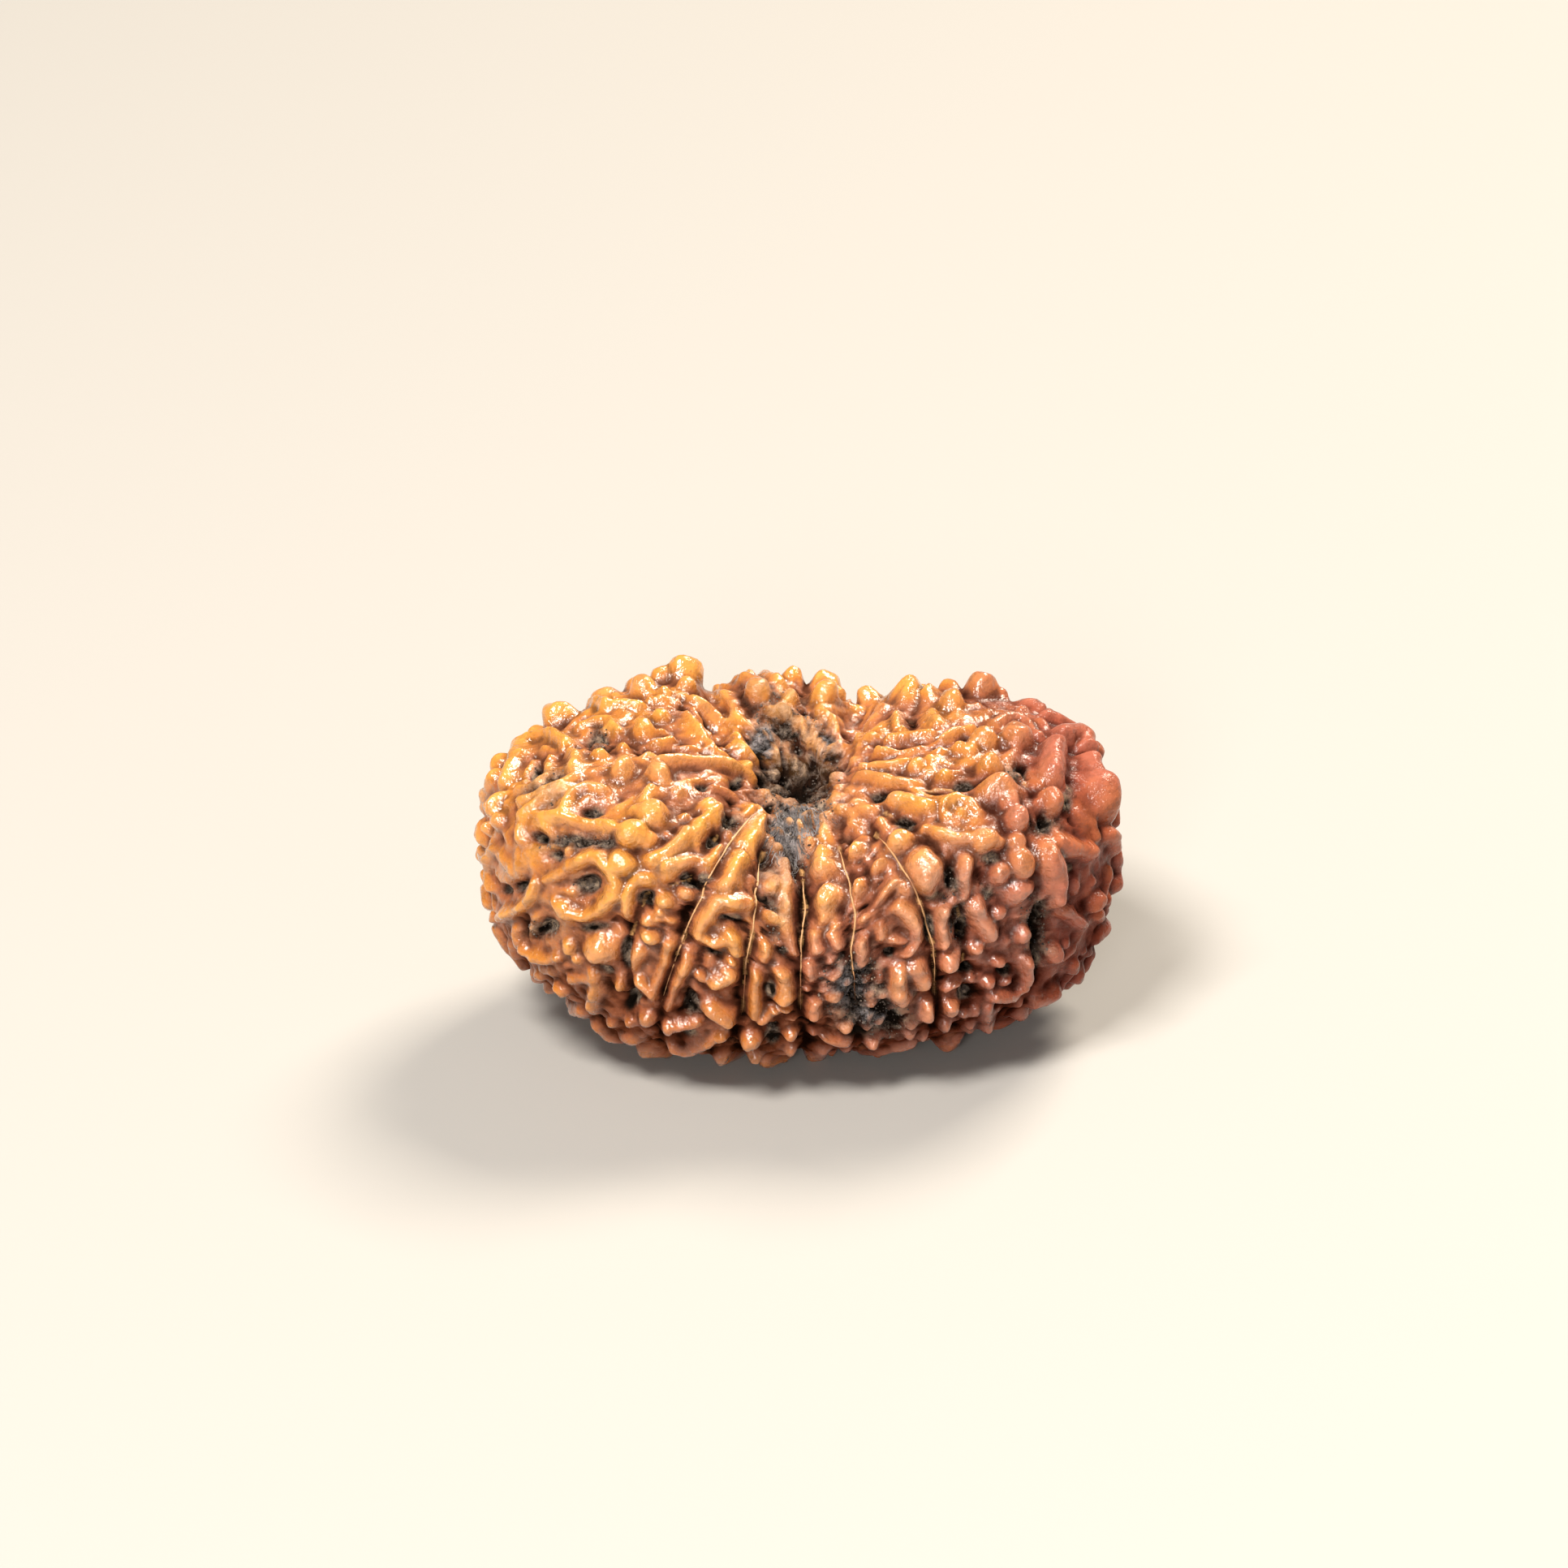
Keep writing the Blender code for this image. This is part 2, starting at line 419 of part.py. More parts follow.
def seen_ridges(picker):
    """Half width and crest line of every ridge and knob placed from the photograph.

    The top is seen at a slant, so what lies there is wider than it looks.
    """
    ridges = [(KNOB_SHAPE, REST_KNOB_HALF_WIDTH, underside_point(x, y)) for x, y in REST_KNOBS]
    lobes = LEFT_END + LEFT_LOBE + FRONT_LOBES + BACK_LOBE + RIGHT_LOBE + RIGHT_END + PIT_LUMPS
    for half_width, *pixels in lobes:
        line = picker.line(pixels)
        upward = max(0.0, form_normals(line)[:, 2].mean())
        widening, shape = RIDGE_WIDENING, RIDGE_SHAPE
        if len(line) == 1:
            widening, shape = KNOB_WIDENING, KNOB_SHAPE
            if half_width > BROAD_KNOB:
                shape = BROAD_KNOB_SHAPE
        ridges.append((shape, half_width * PIXEL * (1 + widening * upward), line))
    return ridges


class Crowd:
    """The crests and hollows placed so far, to keep new crests clear of them and of the sutures."""

    def __init__(self, ridges, hollows, sutures):
        self.crests = np.empty((0, 3))
        self.widths = np.empty(0)
        self.sutures = np.vstack(sutures)
        for _, width, line in ridges:
            self.add(line, width)
        for middle, across, _ in hollows:
            self.add(middle[None], HOLLOW_CLEARING * np.linalg.norm(across))

    def has_room(self, point, width, gap):
        clear = np.linalg.norm(self.crests - point, axis=1) - self.widths
        if clear.min() < width + gap:
            return False
        return np.linalg.norm(self.sutures - point, axis=1).min() > width + SUTURE_GAP

    def add(self, line, width):
        crest = fine_line(line, CREST_SPACING)
        self.crests = np.vstack([self.crests, crest])
        self.widths = np.append(self.widths, np.full(len(crest), width))


def in_pit(point):
    return math.hypot(point[0] / PIT_HALF_SIZE[0], point[1] / PIT_HALF_SIZE[1]) < PIT_CLEARING


def winding_line(draw, start, steps):
    """A short crest line over the smooth form, mostly along the sutures on the narrow lobes."""
    normal = form_normals(start[None])[0]
    along = np.cross(np.cross(normal, [0.0, 0.0, 1.0]), normal)
    across = np.cross(normal, along)
    spread = LOBE_SPREAD if abs(start[0]) < LOBE_REACH else END_SPREAD
    turn = draw.gauss(0.0, spread)
    heading = along * math.cos(turn) + across * math.sin(turn)
    heading /= np.linalg.norm(heading) + 1e-9
    line = [start]
    for _ in range(steps):
        bend = draw.gauss(0.0, STEP_BEND)
        normal = form_normals(line[-1][None])[0]
        heading = heading * math.cos(bend) + np.cross(normal, heading) * math.sin(bend)
        step = line[-1] + STEP_LENGTH * heading
        line.append(on_form((step - [0.0, 0.0, WAIST_HEIGHT])[None])[0])
    return np.array(line)


def hidden_ridges(ridges, hollows, sutures):
    """Ridges and knobs of the same kind where the photograph gives none, drawn with a fixed seed."""
    draw = random.Random(SEED)
    crowd = Crowd(ridges, hollows, sutures)
    added = []
    for tries, widths, steps, gap in HIDDEN_ROUNDS:
        for _ in range(tries):
            direction = np.array([[draw.gauss(0.0, 1.0) for _ in range(3)]])
            start = on_form(direction * [HALF_LENGTH, HALF_DEPTH, WAIST_HEIGHT])
            width = draw.uniform(*widths)
            length = draw.randint(0, steps)
            if in_pit(start[0]) or widths[1] > SEEN_FILL_HALF_WIDTH and facing(start)[0] > SEEN_FACING:
                continue
            if not crowd.has_room(start[0], width, gap):
                continue
            line = winding_line(draw, start[0], length)
            kept = 1
            while kept < len(line) and crowd.has_room(line[kept], width, gap):
                kept += 1
            if kept > LEAST_RUN_SHARE * steps:
                crowd.add(line[:kept], width)
                added.append((SEEDED_SHAPE, width, line[:kept]))
    return added


def line_distance(points, line):
    """Distance of each point to a crest line."""
    if len(line) == 1:
        return np.linalg.norm(points - line[0], axis=1)
    nearest = np.full(len(points), np.inf)
    for start, end in zip(line[:-1], line[1:]):
        run = end - start
        share = np.clip((points - start) @ run / (run @ run), 0, 1)
        nearest = np.minimum(nearest, np.linalg.norm(points - start - share[:, None] * run, axis=1))
    return nearest


def raise_ridges(form, floor, ridges):
    """Round crests standing on the floor, each as high as its width asks for."""
    order = np.argsort(form[:, 0], kind="stable")
    ordered = form[order]
    relief = floor[order]
    for (height, foot, steepness), width, line in ridges:
        reach = width * RIDGE_REACH
        span = [line[:, 0].min() - reach, line[:, 0].max() + reach]
        first, last = np.searchsorted(ordered[:, 0], span)
        distance = line_distance(ordered[first:last], line)
        crown = np.exp(-(distance / (foot * width)) ** steepness)
        raised = height * width * crown - RIDGE_ROOT
        near = distance < reach
        relief[first:last][near] = smooth_maximum(relief[first:last], raised, RIDGE_FILLET)[near]
    result = np.empty(len(form))
    result[order] = relief
    return result


def smooth_maximum(first, second, fillet):
    """The larger of the two, rounded over where they are within a fillet of each other."""
    near = np.clip(1 - np.abs(first - second) / fillet, 0, 1)
    return np.maximum(first, second) + fillet * near ** 2 / 4


def seen_hollows(picker):
    """Middle of each dark hollow between the ridges, with its two half axes on the form."""
    hollows = []
    for x, y, half_width, half_height in HOLLOWS:
        middle = picker.point((x, y))
        across = picker.point((x + half_width, y)) - middle
        hollows.append((middle, across, picker.point((x, y + half_height)) - middle))
    return hollows


def sink_hollows(form, hollows):
    """Depth of the hollows."""
    depth = np.zeros(len(form))
    for middle, across, down in hollows:
        shares = (form - middle) @ np.linalg.pinv(np.stack([across, down]))
        off_plane = np.linalg.norm(form - middle, axis=1) / (np.linalg.norm(across) + np.linalg.norm(down))
        depth = np.maximum(depth, np.exp(-(shares ** 2).sum(axis=1)) * (off_plane < 2))
    return HOLLOW_DEPTH * depth


def groove_sutures(form, sutures):
    """Depth of the grooves along the sutures, which leaves a rounded lobe between each two."""
    lines = np.vstack(sutures)
    tree = KDTree(len(lines))
    for index, point in enumerate(lines):
        tree.insert(point, index)
    tree.balance()
    distance = np.array([tree.find(point)[2] for point in form])
    pit = np.exp(-np.hypot(form[:, 0] / PIT_HALF_SIZE[0], form[:, 1] / PIT_HALF_SIZE[1]) ** 2)
    depth = SUTURE_DEPTH * bell(distance, SUTURE_HALF_WIDTH) + LOBE_DEPTH * bell(distance, LOBE_HALF_WIDTH)
    return depth * (1 - pit)


def raise_surface(mesh):
    """Move the vertices of a unit sphere mesh onto the finished surface."""
    mesh.verts.ensure_lookup_table()
    half_sizes = [HALF_LENGTH, HALF_DEPTH, WAIST_HEIGHT]
    form = on_form(np.array([vertex.co for vertex in mesh.verts]) * half_sizes)
    sunk = sunk_form(form)
    triangles = np.array([[vertex.index for vertex in face.verts] for face in mesh.faces])
    normals = outward_normals(sunk, triangles)
    picker = Picker(form, sunk + normals * PICKING_HEIGHT, triangles.tolist())
    sutures = suture_lines(picker)
    ridges = seen_ridges(picker)
    hollows = seen_hollows(picker)
    ridges += hidden_ridges(ridges, hollows, sutures)
    wide = [ridge for ridge in ridges if ridge[1] > LEAST_HALF_WIDTH]
    floor = -groove_sutures(form, sutures) - sink_hollows(form, hollows)
    relief = raise_ridges(form, floor, wide)
    surface = sunk + normals * relief[:, None]
    surface[:, 2] = np.maximum(surface[:, 2], 0.0)
    for vertex, place in zip(mesh.verts, surface):
        vertex.co = place * MM


def thinned(mesh, collection):
    """The mesh with its triangles merged down to the limit, its low points flat and its box centred."""
    fine = bpy.data.objects.new("fine", mesh)
    collection.objects.link(fine)
    thin = fine.modifiers.new("thin", "DECIMATE")
    thin.ratio = TRIANGLE_LIMIT / len(mesh.polygons)
    evaluated = fine.evaluated_get(bpy.context.evaluated_depsgraph_get())
    result = bpy.data.meshes.new_from_object(evaluated)
    bpy.data.objects.remove(fine)
    places = np.array([vertex.co for vertex in result.vertices])
    middle = (places.min(axis=0) + places.max(axis=0)) / 2
    for vertex in result.vertices:
        vertex.co.x -= middle[0]
        vertex.co.y -= middle[1]
        if vertex.co.z < FLAT_TOLERANCE * MM:
            vertex.co.z = 0.0
    return result


def bead_stone(collection, material):
    """The bead as one solid, its knobs and ridges raised from the smooth form."""
    sphere = bmesh.new()
    bmesh.ops.create_icosphere(sphere, subdivisions=GRID_SUBDIVISIONS, radius=1.0)
    raise_surface(sphere)
    fine = bpy.data.meshes.new("fine")
    sphere.to_mesh(fine)
    sphere.free()
    mesh = thinned(fine, collection)
    mesh.name = "rudraksha_bead"
    mesh.materials.append(material)
    mesh.shade_smooth()
    bead = bpy.data.objects.new("rudraksha_bead", mesh)
    collection.objects.link(bead)
    return bead


def bore_channel(bead, cutters):
    """Thread channel from pit to pit."""
    mesh = bpy.data.meshes.new("channel_cutter")
    cylinder = bmesh.new()
    radius = CHANNEL_DIAMETER / 2 * MM
    bmesh.ops.create_cone(cylinder, cap_ends=True, segments=CHANNEL_SIDES, radius1=radius, radius2=radius,
                          depth=3 * TOP_HEIGHT * MM)
    cylinder.to_mesh(mesh)
    cylinder.free()
    cutter = bpy.data.objects.new("channel_cutter", mesh)
    cutter.location = (CHANNEL_PLACE[0] * MM, CHANNEL_PLACE[1] * MM, 0.0)
    cutter.hide_render = True
    cutter.display_type = "WIRE"
    cutters.objects.link(cutter)
    cut = bead.modifiers.new("channel", "BOOLEAN")
    cut.operation = "DIFFERENCE"
    cut.object = cutter


def stone_material():
    material = bpy.data.materials.new("seed_stone")
    material.use_nodes = True
    shader = material.node_tree.nodes["Principled BSDF"]
    shader.inputs["Base Color"].default_value = STONE_COLOUR
    shader.inputs["Roughness"].default_value = STONE_ROUGHNESS
    return material


def clear_scene():
    for item in list(bpy.data.objects):
        bpy.data.objects.remove(item, do_unlink=True)


def new_collection(name):
    collection = bpy.data.collections.new(name)
    bpy.context.scene.collection.children.link(collection)
    return collection


def main():
    clear_scene()
    bead = bead_stone(new_collection("rudraksha_bead"), stone_material())
    bore_channel(bead, new_collection("cutters"))


main()
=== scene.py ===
"""Looks of the fifteen mukhi rudraksha bead: its fine surface, finish, fibres, floor, light and camera.

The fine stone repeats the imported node's form and relief rules, with every small ridge and knob, and
stands for that node. Lengths in the constants are millimetres; every object is in metres.
"""
import math
import random

import bmesh
import bpy
import numpy as np
from mathutils import Matrix, Vector
from mathutils.bvhtree import BVHTree
from mathutils.geometry import barycentric_transform
from mathutils.kdtree import KDTree


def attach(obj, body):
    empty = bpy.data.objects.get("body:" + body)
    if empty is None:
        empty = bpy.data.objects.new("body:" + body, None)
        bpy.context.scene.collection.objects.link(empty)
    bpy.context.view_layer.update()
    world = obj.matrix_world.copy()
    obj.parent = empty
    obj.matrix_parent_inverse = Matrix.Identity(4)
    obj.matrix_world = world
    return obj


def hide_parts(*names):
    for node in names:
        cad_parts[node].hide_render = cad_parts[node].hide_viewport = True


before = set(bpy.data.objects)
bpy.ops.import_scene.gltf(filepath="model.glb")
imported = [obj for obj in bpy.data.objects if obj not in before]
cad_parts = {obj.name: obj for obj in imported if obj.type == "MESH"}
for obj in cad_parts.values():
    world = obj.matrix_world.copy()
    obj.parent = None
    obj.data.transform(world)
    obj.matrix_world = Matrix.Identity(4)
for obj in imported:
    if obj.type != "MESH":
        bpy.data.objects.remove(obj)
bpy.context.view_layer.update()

MM = 0.001
NODE = "rudraksha_bead"

# Smooth form
HALF_LENGTH = 13.5
HALF_DEPTH = 8.4
WAIST_HEIGHT = 7.2
TOP_HEIGHT = 13.45
UNDERSIDE_HEIGHT = 0.47
PLAN_SQUARENESS = 2.25
UPPER_SQUARENESS = 3.9
LOWER_SQUARENESS = 3.3

# Pits, front valley and back notches. A zone gives where it starts and where it is complete
PIT_HALF_SIZE = (2.3, 1.9)
PIT_STEEPNESS = 2.4
PIT_DEPTH = 2.4
LOWER_PIT_DEPTH = 1.6
TOP_ZONE = (1.5, 12.8)
LOWER_ZONE = (3.0, 1.0)
SADDLE_HALF_WIDTH = 5.0
SADDLE_DEPTH = 0.5
VALLEY_OFFSET = -0.3
VALLEY_HALF_WIDTH = 2.9
VALLEY_DEPTH = 1.6
VALLEY_ZONE = (0.8, -1.2)
FRONT_FALL = 1.3
FRONT_FALL_HALF_WIDTH = 6.5
FRONT_FALL_ZONE = (0.0, -7.5)
NOTCH_OFFSETS = (-3.1, 2.9)
NOTCH_HALF_WIDTH = 0.8
NOTCH_DEPTH = 0.9
NOTCH_ZONE = (0.5, 2.5)
# Swells of the back edge: place along the bead, half width and height
BACK_SWELLS = ((-3.6, 4.2, 0.9), (4.9, 2.0, -0.4))
BACK_ZONE = (0.0, 5.5)
LEFT_TUCK = 1.0
RIGHT_TUCK = 0.2
END_TUCK_ZONE = (6.5, 12.0)
END_TUCK_HEIGHT = 2.5
END_TUCK_HALF_HEIGHT = 3.2
CHANNEL_PLACE = (0.0, -0.4)
CHANNEL_DIAMETER = 1.2
CHANNEL_SIDES = 12
CUTTER_LENGTH = 3 * TOP_HEIGHT
REST_KNOBS = ((-4.4, 2.2), (4.4, 2.2), (0.2, -3.8))
REST_KNOB_HALF_WIDTH = 0.9

# Relief
SUTURE_DEPTH = 0.32
SUTURE_HALF_WIDTH = 0.4
LOBE_DEPTH = 0.22
LOBE_HALF_WIDTH = 1.1
# Height and foot radius over the half width, and steepness of the sides
RIDGE_SHAPE = (1.8, 1.02, 2.8)
KNOB_SHAPE = (1.5, 1.02, 5.0)
BROAD_KNOB_SHAPE = (1.25, 1.06, 2.8)
SEEDED_SHAPE = (1.35, 1.05, 3.4)
# Knobs of a larger half width than this, in photograph pixels, have the broad shape
BROAD_KNOB = 17
RIDGE_REACH = 2.0
RIDGE_WIDENING = 0.05
KNOB_WIDENING = 0.25
PICKING_HEIGHT = 0.45
CREST_SPACING = 0.3
SUTURE_SPACING = 0.15
SUTURE_GAP = 0.1
LOWEST_SLOPE = -1.35
MERIDIAN_STEPS = 24
SLOPE_STEP = 1e-3
TINY = 1e-9
# Seeded ridges: length of a step, bend at each, and spread of their directions on lobes and ends
STEP_LENGTH = 0.55
STEP_BEND = 0.35
LOBE_SPREAD = 0.5
END_SPREAD = 1.6
LOBE_REACH = 7.0
PIT_CLEARING = 1.1
LEAST_RUN_SHARE = 0.34
HOLLOW_CLEARING = 0.5

# Viewpoint of the photograph, whose pixels place the knobs, ridges and sutures that show
PIXEL = 0.035
VIEW_DISTANCE = 330.0
VIEW_ELEVATION = math.radians(28.0)
VIEW_AZIMUTH = math.radians(-5.0)
VIEW_TARGET = (0.0, 0.0, 6.6)
TARGET_PIXEL = (985, 1081)
# A pixel that misses the bead is pulled to the middle by this share, for so many steps
PULL = 0.004
PULL_STEPS = 80

# Sutures as seen, from the upper pit outwards, in photograph pixels
SUTURES = (
    ((940, 990), (897, 1045), (866, 1107), (838, 1168), (815, 1235), (805, 1290)),
    ((950, 1040), (940, 1100), (932, 1150), (920, 1190), (916, 1250), (905, 1290)),
    ((990, 1060), (995, 1110), (990, 1160), (988, 1240), (990, 1290)),
    ((1025, 1030), (1043, 1090), (1052, 1130), (1050, 1175), (1060, 1260), (1060, 1300)),
    ((1070, 1015), (1110, 1065), (1137, 1115), (1155, 1170), (1158, 1240), (1160, 1270)),
    ((1085, 990), (1150, 1035), (1178, 1085), (1192, 1150), (1195, 1236), (1200, 1262)),
    ((1085, 968), (1188, 958), (1265, 950), (1297, 1012), (1285, 1135), (1285, 1190)),
    ((1075, 930), (1160, 910), (1225, 893), (1285, 905)),
    ((1070, 915), (1115, 880), (1150, 838)),
    ((1045, 900), (1062, 870), (1077, 850)),
    ((1000, 900), (998, 870), (995, 840)),
    ((935, 900), (918, 870), (905, 842)),
    ((915, 925), (880, 880), (835, 850), (790, 850)),
    ((915, 935), (800, 912), (735, 897), (653, 942)),
    ((920, 985), (885, 1028), (850, 1080), (790, 1110), (768, 1175), (775, 1240)),
)

# Ridges and knobs as seen: half width, then the points along the crest, in photograph pixels
LEFT_END = (
    (9, (636, 925), (645, 908), (672, 897), (695, 905), (708, 925), (705, 950), (688, 965), (640, 984)),
    (6, (677, 922), (674, 945), (662, 962), (632, 968)), (4, (652, 928), (640, 952)),
    (10, (640, 912), (625, 942), (612, 972), (603, 998)), (15, (672, 876)), (14, (688, 874)),
    (10, (725, 853), (745, 865)), (8, (760, 862), (785, 862)),
    (7, (715, 885), (730, 878), (750, 880), (762, 895)), (5, (717, 915), (717, 943)), (8, (736, 920)),
    (5, (730, 942), (745, 938)), (14, (768, 940)), (7, (766, 908)),
    (8, (690, 998), (694, 982), (706, 966), (725, 960), (745, 966)),
    (8, (637, 1000), (652, 990), (675, 975), (700, 964)),
    (8, (665, 1000), (690, 1003), (720, 1008), (745, 1010), (762, 1016)), (14, (778, 1022)),
    (10, (795, 1030)), (6, (633, 1032), (634, 1010), (650, 998), (668, 1003)), (9, (608, 1008)),
    (8, (592, 1020)), (7, (600, 1045), (592, 1062), (592, 1080), (598, 1100)), (4, (620, 1066)),
    (4, (616, 1083)), (9, (600, 1132)), (9, (612, 1130), (635, 1122), (650, 1108), (655, 1090)),
    (7, (668, 1085), (690, 1078), (698, 1064)),
    (9, (700, 1066), (717, 1058), (738, 1056), (752, 1068), (757, 1088), (752, 1108), (738, 1122),
     (718, 1131), (698, 1128), (682, 1117)),
    (12, (690, 1122)), (7, (698, 1048)), (8, (717, 1060)), (9, (742, 1056)), (13, (766, 1063)),
    (8, (795, 1080), (778, 1092), (769, 1107), (769, 1123), (778, 1135), (795, 1137)), (9, (817, 1108)),
    (5, (812, 1125)), (5, (808, 1133)), (5, (824, 1137)), (9, (642, 1176), (660, 1183), (680, 1180)),
    (13, (697, 1168)), (9, (708, 1185)), (21, (738, 1174)), (7, (630, 1150), (634, 1172)),
    (6, (692, 1195)), (13, (688, 1223)), (8, (700, 1212), (722, 1210)),
    (9, (725, 1205), (727, 1230), (728, 1252)), (10, (662, 1207)), (8, (750, 1268)),
    (12, (799, 1158)), (9, (785, 1176), (773, 1198), (761, 1217)), (10, (787, 1213), (803, 1228)),
    (12, (793, 1260)), (9, (774, 1267)), (8, (793, 1290)), (12, (820, 1272)),
)
LEFT_LOBE = (
    (14, (808, 823)), (11, (791, 840)), (16, (846, 824)), (9, (850, 837)),
    (9, (876, 822), (885, 845), (900, 862), (915, 885)), (9, (818, 848)), (7, (800, 853)),
    (9, (816, 875)), (11, (795, 894)), (5, (803, 898), (820, 893)), (6, (812, 905), (828, 902)),
    (6, (862, 852), (882, 868), (900, 888), (918, 908)),
    (6, (848, 872), (868, 900), (885, 916), (905, 925)),
    (6, (905, 900), (925, 922), (937, 935)), (9, (812, 936), (838, 931), (872, 934), (905, 935), (925, 938)),
    (12, (813, 948)), (8, (803, 966), (795, 980)), (7, (837, 968)),
    (4, (810, 925), (801, 916), (792, 925), (801, 934), (810, 925)), (9, (785, 995), (800, 990), (815, 996)),
    (13, (800, 1000)), (10, (800, 1057), (822, 1047), (838, 1034), (846, 1020)),
    (9, (820, 1066), (850, 1058), (870, 1058), (886, 1048), (890, 1034)), (5, (862, 1022), (862, 1040)),
    (8, (872, 1006), (860, 1018)), (9, (866, 1010), (885, 998), (897, 1012)), (12, (880, 992)),
    (5, (850, 1015)), (5, (822, 1022)), (6, (848, 1000)), (10, (937, 992), (933, 1015), (925, 1035)),
    (9, (918, 1047), (908, 1069), (893, 1087)), (10, (898, 1110), (928, 1108)),
    (8, (885, 1108), (872, 1122), (862, 1140), (861, 1157), (880, 1166), (900, 1156)),
    (10, (903, 1156), (908, 1175)), (8, (845, 1100)), (9, (835, 1270), (862, 1265)),
    (8, (830, 1300), (845, 1303), (862, 1299), (880, 1289), (892, 1283)), (14, (880, 1246), (898, 1258)),
    (9, (860, 1205)), (11, (880, 1212), (900, 1205)), (7, (902, 1190)), (12, (890, 1308)),
    (8, (823, 1170), (818, 1187), (811, 1207), (804, 1230)),
    (9, (839, 1183), (832, 1202), (825, 1222), (817, 1245)),
)
FRONT_LOBES = (
    (7, (965, 1076), (957, 1090)), (9, (955, 1128)), (7, (972, 1137)),
    (9, (970, 1060), (976, 1085), (976, 1110), (973, 1132), (978, 1158), (982, 1175)),
    (4, (937, 1125), (933, 1146)), (8, (945, 1168), (940, 1186)), (9, (933, 1205), (930, 1230), (928, 1255)),
    (16, (925, 1285)), (11, (930, 1308)), (8, (955, 1250), (937, 1262)),
    (12, (968, 1203), (972, 1218), (970, 1232)), (8, (970, 1246)), (11, (977, 1280)), (5, (980, 1262)),
    (9, (975, 1303)), (9, (997, 1192), (1001, 1207)), (7, (993, 1222)), (10, (1007, 1238), (1003, 1256)),
    (9, (1005, 1150), (1009, 1170)), (10, (1012, 1045)), (13, (1013, 1066)), (15, (1020, 1103)),
    (8, (1018, 1125)), (6, (1033, 1140)), (7, (1026, 1150), (1037, 1167)), (10, (1030, 1205)),
    (10, (1048, 1212)), (11, (1031, 1230)), (7, (1048, 1192)), (9, (1059, 1165), (1064, 1190)),
    (7, (1068, 1211)), (5, (1085, 1203), (1086, 1214)), (7, (1073, 1228), (1073, 1241)), (7, (1088, 1228)),
    (11, (1046, 1268)), (6, (1073, 1256), (1073, 1272)), (6, (1086, 1265)), (8, (1018, 1285), (1045, 1291)),
    (7, (1045, 1304)), (11, (1078, 1293)), (6, (1003, 1283)), (14, (1108, 1198), (1112, 1232)),
    (12, (1130, 1192), (1143, 1212)), (12, (1145, 1243), (1144, 1254)),
    (9, (1108, 1118), (1122, 1128), (1132, 1145), (1133, 1162), (1123, 1178)),
    (6, (1104, 1160), (1118, 1166)),
    (8, (1084, 1142), (1086, 1158)), (7, (1128, 1270)), (8, (1125, 1283)), (10, (1146, 1286)),
    (5, (1115, 1255)), (9, (1052, 1040)), (7, (1080, 1063)), (9, (1055, 1090)),
    (8, (1097, 1089), (1083, 1105)),
    (7, (1063, 1130)), (13, (1107, 1031)), (23, (1141, 1069)), (7, (1035, 988), (1052, 993), (1070, 992)),
    (6, (1084, 1003), (1086, 1016)), (5, (1050, 980)),
)
BACK_LOBE = (
    (14, (936, 848)), (13, (980, 813)), (11, (976, 830)), (11, (995, 821)), (13, (1017, 850)),
    (12, (1009, 823)), (12, (1026, 829)), (8, (1044, 831)), (10, (1066, 846)),
    (4, (1012, 867), (1028, 878), (1036, 898), (1037, 915)), (6, (1052, 865), (1072, 860)),
    (7, (955, 872)), (9, (965, 872)), (9, (985, 890)), (10, (995, 908)), (8, (958, 925), (962, 945)),
    (9, (1008, 922), (1014, 940)), (13, (986, 957)),
)
RIGHT_LOBE = (
    (22, (1130, 852)), (6, (1062, 905), (1090, 901), (1120, 897), (1150, 893)),
    (6, (1060, 917), (1085, 918), (1110, 916), (1135, 912), (1160, 915)),
    (6, (1060, 940), (1090, 936), (1118, 930)), (8, (1128, 935)),
    (7, (1047, 954), (1070, 952), (1095, 953), (1125, 958)), (5, (1045, 940), (1050, 920), (1060, 897)),
    (10, (1102, 977), (1118, 978), (1142, 983)), (5, (1100, 865), (1110, 888)), (17, (1215, 844)),
    (9, (1238, 850)), (6, (1193, 863), (1206, 858)), (14, (1173, 860)),
    (9, (1168, 905), (1182, 893), (1198, 892), (1203, 905), (1196, 918), (1182, 915)), (13, (1214, 906)),
    (17, (1254, 906)), (7, (1242, 927), (1258, 914)), (7, (1225, 884), (1245, 876), (1265, 880), (1275, 895)),
    (8, (1262, 869)), (7, (1283, 899)), (12, (1222, 940)), (19, (1232, 963)), (12, (1245, 982)),
    (6, (1213, 968)), (7, (1166, 982), (1180, 974), (1196, 979), (1208, 992)), (4, (1163, 985), (1170, 1000)),
    (8, (1164, 946)), (5, (1170, 942), (1186, 939)), (14, (1256, 1005)),
    (8, (1137, 1013), (1157, 1021), (1178, 1028), (1197, 1030)), (13, (1217, 1033)), (9, (1233, 1039)),
    (11, (1190, 1062), (1190, 1085), (1188, 1108)), (10, (1165, 1122), (1161, 1145), (1166, 1165)),
    (13, (1202, 1118), (1215, 1138), (1224, 1155)), (10, (1208, 1175), (1188, 1180)), (14, (1171, 1188)),
)
